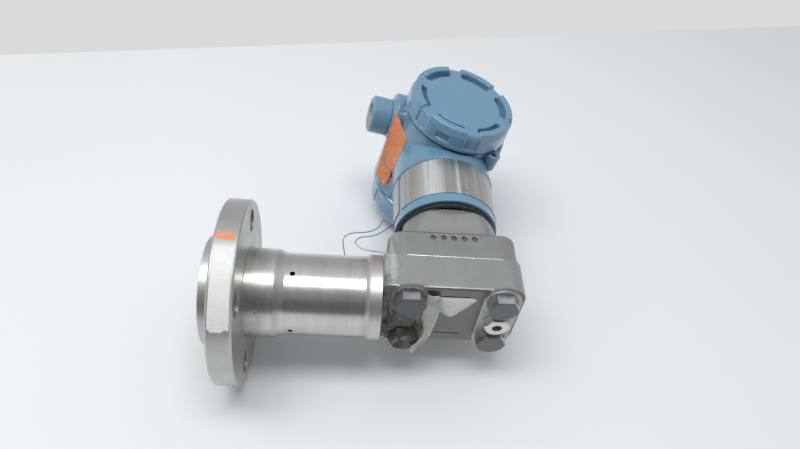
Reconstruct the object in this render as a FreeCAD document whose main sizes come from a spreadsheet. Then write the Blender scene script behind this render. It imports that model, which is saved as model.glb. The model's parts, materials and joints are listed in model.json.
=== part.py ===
import FreeCAD, Part
import Sketcher
import math
import os

from FreeCAD import Placement, Rotation, Vector

# Pressure transmitter with a flanged seal, millimetres.
# X runs along the seal tube from the sealing face, Y along the sensor axis towards
# the housing, Z out through the front cover.

SIZES = (
    # Pipe flange of 1 1/2 inch, class 150, and its diaphragm
    ("flange_od", 127.0), ("rim_thickness", 16.0), ("face_od", 74.0), ("face_height", 10.5),
    ("hole_margin", 14.3), ("bolt_hole", 15.9), ("flange_clock", 45.0), ("rim_edge", 1.0),
    ("diaphragm_od", 52.0), ("diaphragm_depth", 1.0), ("diaphragm_thickness", 0.4),
    ("ripple_height", 0.35), ("oil_bore", 2.4),
    # Seal tube
    ("tube_od", 56.4), ("tube_wall", 3.0), ("tube_length", 90.8), ("collar_od", 60.8),
    ("collar_length", 19.5), ("taper_length", 6.5), ("flare_od", 59.2), ("flare_length", 11.0),
    ("flare_slope", 3.0),
    ("tube_vent", 3.4), ("tube_vent_place", 31.0), ("tube_vent_clock", 7.0),
    ("end_cap_thickness", 6.0), ("capillary_od", 4.0),
    # Coplanar flange, its pads and bolts
    ("stub_reach", 49.8), ("block_width", 95.0), ("block_depth", 64.0), ("block_front", 12.8),
    ("joint_plane", 14.4), ("block_corner", 11.0), ("stub_corner", 3.0), ("block_edge", 2.0),
    ("pad_width", 26.0), ("pad_height", 2.2), ("bolt_span", 62.6), ("bolt_pitch", 43.4),
    ("bolt_shank", 10.9), ("bolt_head", 19.0), ("bolt_head_height", 7.2), ("bolt_reach", 16.0),
    ("slot_width", 19.0), ("slot_height", 3.5), ("slot_depth", 0.8), ("slot_place", 22.0),
    ("port_span", 54.0), ("port_bore", 8.0), ("port_depth", 16.0),
    # Vent valve
    ("vent_hex", 16.0), ("vent_hex_height", 6.5), ("vent_shank", 12.8), ("vent_depth", 11.0),
    ("vent_bore", 7.0), ("vent_tail", 3.0), ("stem_recess", 3.0), ("stem_key", 3.2),
    ("stem_key_depth", 2.5), ("stem_length", 9.0),
    # Sensor module
    ("module_width", 92.0), ("module_depth", 62.4), ("module_corner", 12.0), ("module_top", 37.5),
    ("module_edge", 2.5), ("neck_od", 76.6), ("neck_flat_width", 68.0), ("neck_flat_depth", 60.0),
    ("neck_top", 57.4), ("neck_rim", 3.0), ("groove_wall", 2.1), ("stub_od", 65.8), ("stub_top", 82.0),
    ("isolator_od", 26.0), ("isolator_thickness", 0.5), ("process_ring", 2.6), ("tap_runout", 1.0),
    ("dimple_od", 4.6), ("dimple_pitch", 7.4), ("dimple_depth", 1.0), ("dimple_count", 5.0),
    ("dimple_drop", 5.7),
    ("neck_ring", 2.2), ("connector_width", 22.0), ("connector_depth", 9.0), ("connector_height", 7.0),
    ("connector_wall", 1.2),
    # Housing
    ("housing_turn", 12.0), ("housing_axis", 154.0), ("housing_bottom", 60.4), ("housing_neck_od", 78.6),
    ("shoulder_od", 81.4), ("shoulder_edge", 1.2), ("barrel_od", 84.0), ("barrel_half", 39.7),
    ("compartment_bore", 72.0), ("wall_half", 4.0), ("mouth_bore", 76.0), ("mouth_depth", 12.0),
    ("neck_bore", 44.0), ("socket_depth", 22.5),
    ("band_bottom", 68.2), ("band_top", 103.8), ("band_thickness", 0.5), ("band_gap", 4.0),
    ("band_end", 168.0),
    ("cheek_od", 94.0), ("cheek_low", 13.0), ("cheek_high", 14.0), ("cheek_slope", 14.0),
    ("cheek_flat", 36.0), ("cheek_taper", 30.0),
    ("conduit_rise", 12.7), ("conduit_height", 14.6), ("boss_od", 34.0), ("boss_reach", 50.5),
    ("boss_edge", 2.0), ("fairing_reach", 48.0), ("fairing_rise", 4.0), ("fairing_height", 3.0),
    ("conduit_bore", 21.0), ("adapter_od", 31.0), ("adapter_length", 15.8), ("adapter_thread", 12.0),
    ("adapter_bore", 17.6), ("mouth_chamfer", 1.5), ("plug_length", 12.0), ("plug_key", 9.5),
    ("plug_key_depth", 6.0),
    ("lug_angle", -48.0), ("lug_width", 10.6), ("lug_length", 13.0),
    ("lock_od", 4.0), ("lock_head", 7.0), ("lock_head_height", 4.0), ("lock_length", 9.0),
    ("set_screw_od", 5.0), ("set_screw_back", 1.4), ("set_screw_height", 4.0), ("set_screw_key", 2.5),
    ("ground_boss_od", 14.0), ("ground_reach", 48.0), ("ground_drop", 18.0), ("ground_height", -17.0),
    ("ground_screw_od", 5.0), ("ground_head", 9.0), ("ground_head_height", 3.6), ("ground_washer", 11.0),
    ("ground_washer_thickness", 1.2), ("ground_depth", 6.0), ("ground_slot", 1.2),
    # Covers
    ("cover_od", 87.4), ("cover_gap", 0.5), ("front_height", 20.0), ("rear_height", 24.5),
    ("cover_wall", 4.0),
    ("cover_plug", 10.0), ("cover_rim", 9.6), ("lug_rise", 5.2), ("valley_width", 11.0),
    ("disc_od", 54.0), ("disc_rise", 1.2), ("cover_edge", 1.6), ("cover_bevel", 2.2),
    ("cover_ring", 2.2), ("ring_place", 1.9), ("key_width", 11.0), ("key_height", 8.5), ("key_depth", 1.8),
    ("key_drop", 5.5), ("key_angle", -151.0), ("cover_clock", 37.0),
    # Inside the housing
    ("board_od", 60.0), ("board_thickness", 1.6), ("post_od", 6.0), ("post_height", 10.0),
    ("post_circle", 48.0), ("screw_od", 2.5), ("screw_head", 5.0), ("screw_head_height", 2.0),
    ("screw_length", 7.0), ("terminal_width", 48.0), ("terminal_depth", 26.0), ("terminal_height", 13.0),
    ("terminal_drop", 4.0), ("terminal_pitch", 13.0), ("terminal_head", 8.0), ("terminal_head_height", 3.0),
    ("terminal_length", 8.0), ("terminal_slot", 1.2), ("well_fit", 0.7),
    # Tag wire and tape
    ("wire_od", 0.8), ("tape_width", 6.5), ("tape_thickness", 0.7), ("tape_lean", 8.5),
    ("tape_offset", 18.0), ("tape_height", 21.0), ("tape_bend", 18.0), ("tape_turn", 37.0),
    ("tape_drop", 57.0),
    # Clearances
    ("running_fit", 0.1), ("screw_fit", 0.05), ("hole_fit", 0.35), ("rest_gap", 0.3),
)

ALONG_X = Rotation(Vector(0, 1, 0), 90)
ALONG_Y = Rotation(Vector(1, 0, 0), -90)
BACK_ALONG_Y = Rotation(Vector(1, 0, 0), 90)
BACK_ALONG_X = Rotation(Vector(0, 1, 0), -90)
UPRIGHT = Rotation()
QUARTERS = ((-1, -1), (-1, 1), (1, -1), (1, 1))

# Chips on the electronics board: corner x and y, width, depth, height
CHIPS = ((-14.0, -6.0, 14.0, 14.0, 2.2), (6.0, -12.0, 10.0, 7.0, 1.8), (4.0, 2.0, 8.0, 8.0, 3.0),
         (-9.0, -20.0, 18.0, 6.0, 5.0))

# The tag wire leaves the neck's flat, loops beside the housing and ends behind the tube
WIRE_ROUTE = (
    (133.1, 49.5, -14.0), (125.4, 49.5, -14.0), (116.4, 52.5, -14.5), (108.6, 51.5, -13.0),
    (101.4, 53.2, -12.0), (97.7, 59.0, -12.0), (102.4, 64.2, -12.0), (109.9, 65.8, -13.0),
    (117.0, 70.6, -15.0), (123.7, 78.9, -18.0), (129.0, 87.0, -22.0), (131.4, 95.5, -26.0),
    (128.7, 102.5, -30.5), (121.4, 101.5, -32.0), (118.7, 88.5, -27.0), (110.9, 76.8, -20.0),
    (102.8, 71.9, -16.0), (94.8, 68.4, -13.0), (89.9, 64.2, -12.0), (88.7, 59.8, -14.0),
    (90.1, 56.5, -19.5), (91.7, 53.0, -27.0), (93.4, 46.5, -34.0), (94.4, 38.5, -38.5))

doc = FreeCAD.newDocument("pressure_transmitter")
sheet = doc.addObject("Spreadsheet::Sheet", "sizes")
finished = []


class Size:
    """A length known both as an expression on the sheet and as a number."""

    def __init__(self, text, value):
        self.text = text
        self.value = value

    def _join(self, other, sign, value, swap=False):
        text = other.text if isinstance(other, Size) else repr(other)
        pair = (text, self.text) if swap else (self.text, text)
        return Size("(%s %s %s)" % (pair[0], sign, pair[1]), value)

    def __add__(self, other):
        return self._join(other, "+", self.value + number(other))

    def __radd__(self, other):
        return self._join(other, "+", number(other) + self.value, True)

    def __sub__(self, other):
        return self._join(other, "-", self.value - number(other))

    def __rsub__(self, other):
        return self._join(other, "-", number(other) - self.value, True)

    def __mul__(self, other):
        return self._join(other, "*", self.value * number(other))

    def __rmul__(self, other):
        return self._join(other, "*", number(other) * self.value, True)

    def __truediv__(self, other):
        return self._join(other, "/", self.value / number(other))

    def __neg__(self):
        return Size("(0 - %s)" % self.text, -self.value)


class Table:
    """The sheet's cells, read as attributes."""


def number(size):
    return size.value if isinstance(size, Size) else float(size)


def bind(target, path, size, unit=""):
    if isinstance(size, Size):
        target.setExpression(path, size.text + unit)


def fill_sheet():
    table = Table()
    for row, (alias, value) in enumerate(SIZES, start=1):
        cell = "B%d" % row
        sheet.set("A%d" % row, alias)
        sheet.set(cell, repr(value))
        sheet.setAlias(cell, alias)
        setattr(table, alias, Size("sizes." + alias, value))
    doc.recompute()
    return table


def set_place(target, base=(0, 0, 0), turn=UPRIGHT):
    target.Placement = Placement(Vector(*[number(size) for size in base]), turn)
    for axis, size in zip("xyz", base):
        bind(target, "Placement.Base." + axis, size)


def primitive(kind, name, sizes, base=(0, 0, 0), turn=UPRIGHT):
    target = doc.addObject("Part::" + kind, name)
    for key, size in sizes.items():
        setattr(target, key, number(size))
        bind(target, key, size)
    set_place(target, base, turn)
    return target


def rod(name, diameter, height, base=(0, 0, 0), turn=UPRIGHT):
    return primitive("Cylinder", name, {"Radius": diameter / 2, "Height": height}, base, turn)


def brick(name, width, depth, height, base=(0, 0, 0), turn=UPRIGHT):
    return primitive("Box", name, {"Length": width, "Width": depth, "Height": height}, base, turn)


def hexagon(name, across, height, base=(0, 0, 0), turn=UPRIGHT):
    sizes = {"Circumradius": across / math.sqrt(3), "Height": height}
    prism = primitive("Prism", name, sizes, base, turn)
    prism.Polygon = 6
    return prism


def ring(name, across, thickness, base=(0, 0, 0), turn=UPRIGHT):
    return primitive("Torus", name, {"Radius1": across / 2, "Radius2": thickness / 2}, base, turn)


def join(name, shapes):
    target = doc.addObject("Part::MultiFuse", name)
    target.Shapes = shapes
    return target


def cut(name, base, tools):
    target = doc.addObject("Part::Cut", name)
    target.Base = base
    target.Tool = tools[0] if len(tools) == 1 else join(name + "_tools", tools)
    return target


def shared(name, base, tool):
    target = doc.addObject("Part::Common", name)
    target.Base = base
    target.Tool = tool
    return target


def group(name, shapes):
    target = doc.addObject("Part::Compound", name)
    target.Links = shapes
    return target


def plane(body, role):
    return next(item for item in body.Origin.OriginFeatures if item.Role == role)


def new_sketch(body, name, role, height=0):
    sketch = body.newObject("Sketcher::SketchObject", name)
    sketch.AttachmentSupport = [(plane(body, role), "")]
    sketch.MapMode = "FlatFace"
    sketch.AttachmentOffset = Placement(Vector(0, 0, number(height)), Rotation())
    bind(sketch, "AttachmentOffset.Base.z", height)
    return sketch


def pin_point(sketch, line, at, x, y):
    for kind, size, axis in (("DistanceX", x, -2), ("DistanceY", y, -1)):
        if number(size) == 0:
            sketch.addConstraint(Sketcher.Constraint("PointOnObject", line, at, axis))
            continue
        index = sketch.addConstraint(Sketcher.Constraint(kind, -1, 1, line, at, number(size)))
        bind(sketch, "Constraints[%d]" % index, size)


def outline(sketch, points):
    """A closed outline of straight lines, each corner held by its own two sizes."""
    count = len(points)
    corners = [Vector(number(x), number(y), 0) for x, y in points]
    for index in range(count):
        edge = Part.LineSegment(corners[index], corners[(index + 1) % count])
        sketch.addGeometry(edge, False)
    for index in range(count):
        sketch.addConstraint(Sketcher.Constraint("Coincident", index, 2, (index + 1) % count, 1))
    for index, (x, y) in enumerate(points):
        pin_point(sketch, index, 1, x, y)


def circle(sketch, diameter, x=0, y=0):
    centre = Vector(number(x), number(y), 0)
    index = sketch.addGeometry(Part.Circle(centre, Vector(0, 0, 1), number(diameter) / 2), False)
    row = sketch.addConstraint(Sketcher.Constraint("Diameter", index, number(diameter)))
    bind(sketch, "Constraints[%d]" % row, diameter)
    pin_point(sketch, index, 3, x, y)


def turned(name, points):
    """A body of revolution about its own Z from (radius, height) points."""
    body = doc.addObject("PartDesign::Body", name)
    sketch = new_sketch(body, name + "_profile", "XZ_Plane")
    outline(sketch, points)
    feature = body.newObject("PartDesign::Revolution", name + "_turning")
    feature.Profile = sketch
    feature.ReferenceAxis = (sketch, ["V_Axis"])
    feature.Angle = 360.0
    return body


def pad(body, sketch, length, reverse=False):
    feature = body.newObject("PartDesign::Pad", sketch.Name + "_pad")
    feature.Profile = sketch
    feature.Length = number(length)
    feature.Reversed = reverse
    bind(feature, "Length", length)
    return feature


def pocket(body, sketch, depth, reverse=False):
    feature = body.newObject("PartDesign::Pocket", sketch.Name + "_pocket")
    feature.Profile = sketch
    feature.Length = number(depth)
    feature.Reversed = reverse
    bind(feature, "Length", depth)
    return feature


def repeat(body, feature, count):
    pattern = body.newObject("PartDesign::PolarPattern", feature.Name + "_round")
    pattern.Originals = [feature]
    pattern.Axis = (plane(body, "Z_Axis"), [""])
    pattern.Angle = 360.0
    pattern.Occurrences = count
    body.Tip = pattern
    return pattern


def soften(body, feature, radius, wanted, kind="Fillet"):
    """Round or bevel the edges of a feature that the test picks out."""
    doc.recompute()
    names = ["Edge%d" % row for row, edge in enumerate(feature.Shape.Edges, start=1) if wanted(edge)]
    dress = body.newObject("PartDesign::" + kind, "%s_%s" % (feature.Name, kind.lower()))
    dress.Base = (feature, names)
    key = "Radius" if kind == "Fillet" else "Size"
    setattr(dress, key, number(radius))
    bind(dress, key, radius)
    body.Tip = dress
    return dress


def is_level(edge, height):
    box = edge.BoundBox
    return abs(box.ZMin - number(height)) < 0.01 and abs(box.ZMax - number(height)) < 0.01


def stands_at(edge, x):
    box = edge.BoundBox
    upright = box.XLength < 0.01 and box.YLength < 0.01
    return upright and abs(abs(box.XMin) - abs(number(x))) < 0.01


def finish(target, label, base=(0, 0, 0), turn=UPRIGHT):
    set_place(target, base, turn)
    target.Label = label
    finished.append(target)
    return target


def finish_on_housing(target, label):
    centre = (module_x, s.housing_axis, 0)
    finish(target, label, centre, Rotation(Vector(0, 1, 0), number(s.housing_turn)))
    bind(target, "Placement.Rotation.Angle", s.housing_turn, " * 1 deg")
    return target


s = fill_sheet()
flange_back = s.face_height + s.rim_thickness
tube_end = flange_back + s.tube_length
module_x = tube_end + s.stub_reach
turn_sin = Size("sin(sizes.housing_turn * 1 deg)", math.sin(math.radians(number(s.housing_turn))))
turn_cos = Size("cos(sizes.housing_turn * 1 deg)", math.cos(math.radians(number(s.housing_turn))))
pad_face = -s.block_front - s.pad_height


def process_flange():
    bore = s.oil_bore / 2
    rim = s.flange_od / 2
    body = turned("process_flange", [
        (bore, s.diaphragm_depth), (s.diaphragm_od / 2, s.diaphragm_depth), (s.diaphragm_od / 2, 0),
        (s.face_od / 2, 0), (s.face_od / 2, s.face_height), (rim - s.rim_edge, s.face_height),
        (rim, s.face_height + s.rim_edge), (rim, flange_back - s.rim_edge), (rim - s.rim_edge, flange_back),
        (bore, flange_back)])
    sketch = new_sketch(body, "flange_hole", "XY_Plane")
    circle(sketch, s.bolt_hole, s.flange_od / 2 - s.hole_margin)
    repeat(body, pocket(body, sketch, flange_back, True), 4)
    finish(body, "process_flange", turn=ALONG_X * Rotation(Vector(0, 0, 1), number(s.flange_clock)))


def seal_diaphragm():
    edge = s.diaphragm_od / 2 - s.screw_fit
    front = s.diaphragm_depth - s.diaphragm_thickness
    points = [(0, s.diaphragm_depth), (edge, s.diaphragm_depth), (edge, front)]
    ripples = 4
    pitch = s.diaphragm_od / 2 / (ripples + 2)
    for row in range(ripples, 0, -1):
        points.append((pitch * (row + 0.75), front))
        points.append((pitch * (row + 0.5), front - s.ripple_height))
        points.append((pitch * (row + 0.25), front))
    points.append((0, front))
    finish(turned("seal_diaphragm", points), "seal_diaphragm", turn=ALONG_X)


def extension_tube():
    bore = s.tube_od / 2 - s.tube_wall
    flare = s.tube_length - s.flare_length
    body = turned("extension_tube_wall", [
        (bore, 0), (s.collar_od / 2, 0), (s.collar_od / 2, s.collar_length),
        (s.tube_od / 2, s.collar_length + s.taper_length), (s.tube_od / 2, flare),
        (s.flare_od / 2, flare + s.flare_slope), (s.flare_od / 2, s.tube_length), (bore, s.tube_length)])
    drills = []
    for row in range(2):
        angle = math.radians(number(s.tube_vent_clock) + 90 * row)
        across = Rotation(Vector(0, 0, 1), Vector(math.cos(angle), math.sin(angle), 0))
        reach = s.collar_od * 0.5
        start = (reach * -math.cos(angle), reach * -math.sin(angle), s.tube_vent_place)
        drills.append(rod("tube_vent_%d" % row, s.tube_vent, s.collar_od, start, across))
    finish(cut("extension_tube", body, drills), "extension_tube", (flange_back, 0, 0), ALONG_X)


def tube_inside():
    bore = s.tube_od / 2 - s.tube_wall - s.screw_fit
    hole = s.capillary_od / 2 + s.screw_fit
    cap = turned("tube_end_cap", [
        (hole, 0), (bore, 0), (bore, s.end_cap_thickness), (hole, s.end_cap_thickness)])
    finish(cap, "tube_end_cap", (tube_end - s.end_cap_thickness, 0, 0), ALONG_X)
    pipe = turned("capillary", [
        (s.oil_bore / 2, 0), (s.capillary_od / 2, 0), (s.capillary_od / 2, s.tube_length),
        (s.oil_bore / 2, s.tube_length)])
    finish(pipe, "capillary_tube", (flange_back, 0, 0), ALONG_X)


def rounded_block(name, left, right, depth, bottom, top):
    body = doc.addObject("PartDesign::Body", name)
    sketch = new_sketch(body, name + "_outline", "XY_Plane", bottom)
    half = depth / 2
    outline(sketch, [(left, -half), (right, -half), (right, half), (left, half)])
    return body, pad(body, sketch, top - bottom)


def obround(name, width, pitch, height, base):
    x, y, z = base
    web = brick(name + "_web", width, pitch, height, (x - width / 2, y - pitch / 2, z))
    ends = [rod("%s_end_%d" % (name, side), width, height, (x, y + pitch / 2 * side, z)) for side in (-1, 1)]
    return join(name, [web] + ends)


def coplanar_flange():
    left = -s.stub_reach
    right = s.block_width / 2
    body, block = rounded_block("flange_block", left, right, s.block_depth, -s.block_front, s.joint_plane)
    ends = soften(body, block, s.block_corner, lambda edge: stands_at(edge, right))
    stub = soften(body, ends, s.stub_corner, lambda edge: stands_at(edge, left))
    soften(body, stub, s.block_edge, lambda edge: is_level(edge, -s.block_front))
    sunk = s.pad_height + s.block_edge
    pads = [obround("bolt_pad_%d" % side, s.pad_width, s.bolt_pitch, sunk,
                    (s.bolt_span / 2 * side, 0, pad_face)) for side in (-1, 1)]
    tools = []
    through = s.joint_plane - pad_face
    for side, row in QUARTERS:
        place = (s.bolt_span / 2 * side, s.bolt_pitch / 2 * row, pad_face)
        tools.append(rod("clearance_hole", s.bolt_shank + s.hole_fit * 2, through, place))
    vent = (s.bolt_span / 2, 0, pad_face)
    tools.append(rod("vent_hole", s.vent_shank + s.screw_fit * 2, s.vent_depth, vent))
    tools.append(rod("vent_passage", s.vent_tail, through - s.port_depth / 2, vent))
    for side in (-1, 1):
        mouth = (s.port_span / 2 * side, 0, s.joint_plane - s.port_depth)
        tools.append(rod("port", s.port_bore, s.port_depth, mouth))
        slot = (s.slot_width / -2, s.slot_place * side - s.slot_height / 2, -s.block_front)
        tools.append(brick("cast_slot", s.slot_width, s.slot_height, s.slot_depth, slot))
    reach = s.stub_reach - s.port_span / 2
    tools.append(rod("oil_way", s.oil_bore, reach, (left, 0, 0), ALONG_X))
    solid = join("flange_casting", [body] + pads)
    finish(cut("coplanar_flange", solid, tools), "coplanar_flange", (module_x, 0, 0), ALONG_Y)


def sensor_module():
    half = s.module_width / 2
    body, block = rounded_block("module_block", -half, half, s.module_depth, s.joint_plane, s.module_top)
    ends = soften(body, block, s.module_corner, lambda edge: stands_at(edge, half))
    soften(body, ends, s.module_edge, lambda edge: is_level(edge, s.module_top))
    root = s.module_top - s.module_edge
    flats = brick("neck_flats", s.neck_flat_width, s.neck_flat_depth, s.neck_top - root,
                  (s.neck_flat_width / -2, s.neck_flat_depth / -2, root))
    column = rod("neck_column", s.neck_od, s.neck_top - root, (0, 0, root))
    neck = shared("neck", column, flats)
    rim = rod("neck_rim", s.neck_od, s.neck_rim, (0, 0, s.neck_top - s.neck_rim))
    groove = rod("neck_groove", groove_od, s.housing_bottom - s.neck_top - s.rest_gap, (0, 0, s.neck_top))
    stub = rod("neck_stub", s.stub_od, s.stub_top - s.neck_top, (0, 0, s.neck_top))
    tools = []
    for side, row in QUARTERS:
        place = (s.bolt_span / 2 * side, s.bolt_pitch / 2 * row, s.joint_plane)
        tools.append(rod("tapped_hole", s.bolt_shank + s.screw_fit * 2, s.bolt_reach + s.tap_runout, place))
    for side in (-1, 1):
        place = (s.port_span / 2 * side, 0, s.joint_plane)
        tools.append(rod("isolator_seat", s.isolator_od + s.screw_fit * 2, isolator_depth, place))
    first = (s.dimple_count - 1) / -2 * s.dimple_pitch
    for row in range(int(number(s.dimple_count))):
        place = (first + s.dimple_pitch * row, s.module_depth / -2, s.module_top - s.dimple_drop)
        tools.append(rod("dimple_%d" % row, s.dimple_od, s.dimple_depth, place, ALONG_Y))
    solid = join("module_casting", [body, neck, rim, groove, stub])
    finish(cut("sensor_module", solid, tools), "sensor_module", (module_x, 0, 0), ALONG_Y)


def module_fittings():
    discs = []
    seals = []
    for side in (-1, 1):
        x = s.port_span / 2 * side
        top = s.joint_plane + isolator_depth - s.isolator_thickness
        discs.append(rod("isolator_disc", s.isolator_od, s.isolator_thickness, (x, 0, top)))
        middle = s.joint_plane + s.process_ring / 2
        across = s.isolator_od - s.process_ring - s.screw_fit * 2
        seals.append(ring("process_seal", across, s.process_ring, (x, 0, middle)))
    finish(group("isolators", discs), "isolator_diaphragms", (module_x, 0, 0), ALONG_Y)
    finish(group("process_seals", seals), "process_o_rings", (module_x, 0, 0), ALONG_Y)
    height = s.neck_top + s.neck_ring / 2 + s.screw_fit
    across = groove_od + s.neck_ring + s.screw_fit * 2
    finish(ring("neck_seal", across, s.neck_ring), "neck_o_ring", (module_x, height, 0), ALONG_Y)
    plug = brick("connector_shell", s.connector_width, s.connector_depth, s.connector_height,
                 (s.connector_width / -2, s.connector_depth / -2, 0))
    pocket_width = s.connector_width - s.connector_wall * 2
    pocket_depth = s.connector_depth - s.connector_wall * 2
    hollow = brick("connector_pocket", pocket_width, pocket_depth, s.connector_height,
                   (pocket_width / -2, pocket_depth / -2, s.connector_wall))
    finish(cut("connector", plug, [hollow]), "module_connector", (module_x, s.stub_top, 0), ALONG_Y)


def hex_head(name, across, height, base, turn):
    prism = hexagon(name + "_prism", across, height, base, turn)
    slope = 1 / math.tan(math.radians(30))
    sizes = {"Radius1": across / 2 + height * slope, "Radius2": across / 2, "Height": height}
    return shared(name, prism, primitive("Cone", name + "_bevel", sizes, base, turn))


def flange_bolts():
    bolts = []
    for side, row in QUARTERS:
        seat = (s.bolt_span / 2 * side, pad_face, s.bolt_pitch / 2 * row)
        head = hex_head("bolt_head", s.bolt_head, s.bolt_head_height, seat, BACK_ALONG_Y)
        length = s.joint_plane - pad_face + s.bolt_reach
        bolts.append(join("bolt", [head, rod("bolt_shank", s.bolt_shank, length, seat, ALONG_Y)]))
    finish(group("bolts", bolts), "flange_bolts", (module_x, 0, 0))


def vent_valve():
    length = s.vent_hex_height + s.vent_depth
    head = hex_head("vent_head", s.vent_hex, s.vent_hex_height, (0, 0, s.vent_depth), UPRIGHT)
    body = join("vent_body", [head, rod("vent_thread", s.vent_shank, s.vent_depth + s.screw_fit)])
    depth = s.stem_recess + s.stem_length + s.rest_gap
    tools = [rod("vent_bore", s.vent_bore, depth, (0, 0, length - depth)),
             rod("vent_way", s.vent_tail, length)]
    x = module_x + s.bolt_span / 2
    finish(cut("vent_seat", body, tools), "vent_valve_seat", (x, pad_face + s.vent_depth, 0), BACK_ALONG_Y)
    stem = rod("stem_rod", s.vent_bore - s.running_fit * 2, s.stem_length)
    key = hexagon("stem_socket", s.stem_key, s.stem_key_depth, (0, 0, s.stem_length - s.stem_key_depth))
    end = pad_face - s.vent_hex_height + s.stem_recess + s.stem_length
    finish(cut("vent_stem", stem, [key]), "vent_valve_stem", (x, end, 0), BACK_ALONG_Y)


def lug_place(radius, height):
    angle = math.radians(number(s.lug_angle))
    return (radius * math.cos(angle), radius * math.sin(angle), height)


def boss(name, reach, rise, height):
    """A round boss through the barrel from side to side, bevelled at both ends."""
    rim = s.boss_od / 2
    edge = s.boss_edge
    body = turned(name, [(0, -reach), (rim - edge, -reach), (rim, edge - reach), (rim, reach - edge),
                         (rim - edge, reach), (0, reach)])
    set_place(body, (0, s.conduit_rise + rise, s.conduit_height + height), ALONG_X)
    return body


def cheeks():
    """The thick sides of the barrel, which thin out towards the front cover."""
    rim = s.cheek_od / 2
    back = -s.barrel_half
    flat = s.cheek_flat - s.barrel_half
    drum = turned("cheek_drum", [
        (0, back), (rim, back), (rim, flat), (s.barrel_od / 2, flat + s.cheek_taper),
        (0, flat + s.cheek_taper)])
    belt = doc.addObject("PartDesign::Body", "cheek_belt")
    sketch = new_sketch(belt, "cheek_belt_outline", "XY_Plane", back)
    inner = rim - s.cheek_slope
    low = -s.cheek_low
    high = s.cheek_high
    outline(sketch, [
        (-rim, high), (-rim, low), (-inner, low - s.cheek_slope), (inner, low - s.cheek_slope),
        (rim, low), (rim, high), (inner, high + s.cheek_slope), (-inner, high + s.cheek_slope)])
    pad(belt, sketch, s.cheek_flat + s.cheek_taper)
    return shared("cheeks", drum, belt)


def housing():
    bottom = s.housing_bottom - s.housing_axis
    barrel = rod("barrel", s.barrel_od, s.barrel_half * 2, (0, 0, -s.barrel_half))
    neck = rod("housing_neck", s.housing_neck_od, -bottom, (0, bottom, 0), ALONG_Y)
    step = s.band_top + s.rest_gap - s.housing_axis
    column = turned("shoulder", [
        (0, 0), (s.shoulder_od / 2 - s.shoulder_edge, 0), (s.shoulder_od / 2, s.shoulder_edge),
        (s.shoulder_od / 2, -step), (0, -step)])
    set_place(column, (0, step, 0), ALONG_Y)
    slab = brick("shoulder_slab", s.barrel_od, s.housing_axis, s.barrel_half * 2,
                 (s.barrel_od / -2, -s.housing_axis, -s.barrel_half))
    shapes = [barrel, neck, shared("shoulder_cut", column, slab)]
    shapes.append(boss("conduit_boss", s.boss_reach, 0, 0))
    shapes.append(boss("boss_fairing", s.fairing_reach, s.fairing_rise, s.fairing_height))
    shapes.append(cheeks())
    root = s.compartment_bore / 2
    lug_turn = Rotation(Vector(0, 0, 1), number(s.lug_angle))
    angle = math.radians(number(s.lug_angle))
    for height in (s.barrel_half - s.lug_length, -s.barrel_half):
        x, y, z = lug_place(root + s.wall_half, height)
        corner = (x + s.lug_width / 2 * math.sin(angle), y - s.lug_width / 2 * math.cos(angle), z)
        shapes.append(brick("lock_lug", lock_radius - root - s.wall_half, s.lug_width, s.lug_length,
                            corner, lug_turn))
        shapes.append(rod("lug_end", s.lug_width, s.lug_length, lug_place(lock_radius, height)))
    ground = (root, -s.ground_drop, s.ground_height)
    shapes.append(rod("ground_boss", s.ground_boss_od, s.ground_reach - root, ground, ALONG_X))
    tools = []
    for side in (-1, 1):
        depth = s.barrel_half - s.wall_half
        start = s.wall_half if side > 0 else -s.barrel_half
        tools.append(rod("compartment", s.compartment_bore, depth, (0, 0, start)))
        lip = s.barrel_half - s.mouth_depth if side > 0 else -s.barrel_half
        tools.append(rod("mouth", s.mouth_bore, s.mouth_depth, (0, 0, lip)))
    tools.append(rod("neck_way", s.neck_bore, -bottom - root + s.wall_half, (0, bottom, 0), ALONG_Y))
    tools.append(rod("stub_socket", s.stub_od + s.running_fit * 2, s.socket_depth, (0, bottom, 0), ALONG_Y))
    for side, turn in ((-1, BACK_ALONG_X), (1, ALONG_X)):
        tools.append(rod("conduit_way", s.conduit_bore, s.boss_reach,
                         (0, s.conduit_rise, s.conduit_height), turn))
        lock = -s.barrel_half if side < 0 else s.barrel_half - s.lug_length
        tools.append(rod("lock_hole", s.lock_od + s.screw_fit * 2, s.lug_length,
                         lug_place(lock_radius, lock)))
        room = s.lock_head_height + s.rest_gap
        recess = s.lug_length - s.barrel_half if side < 0 else s.barrel_half - s.lug_length - room
        tools.append(rod("lock_recess", s.lock_head + s.well_fit * 2, room, lug_place(lock_radius, recess)))
    tools.append(rod("set_screw_hole", s.set_screw_od + s.screw_fit * 2, s.housing_neck_od / 2,
                     (0, bottom + s.set_screw_height, 0), Rotation(Vector(1, 0, 0), 180)))
    tools.append(rod("ground_hole", s.ground_screw_od + s.screw_fit * 2, s.ground_depth,
                     (s.ground_reach - s.ground_depth, -s.ground_drop, s.ground_height), ALONG_X))
    shell = cut("housing_shell", join("housing_casting", shapes), tools)
    posts = [rod("board_post", s.post_od, board_seat, post_place(row, -board_seat)) for row in range(3)]
    holes = [rod("post_hole", s.screw_od + s.screw_fit * 2, s.screw_length, post_place(row, -board_seat))
             for row in range(3)]
    finish_on_housing(cut("housing", join("housing_posts", [shell] + posts), holes), "housing")


def post_place(row, height):
    angle = math.radians(90 + 120 * row)
    radius = s.post_circle / 2
    return (radius * math.cos(angle), radius * math.sin(angle), height)


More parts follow.
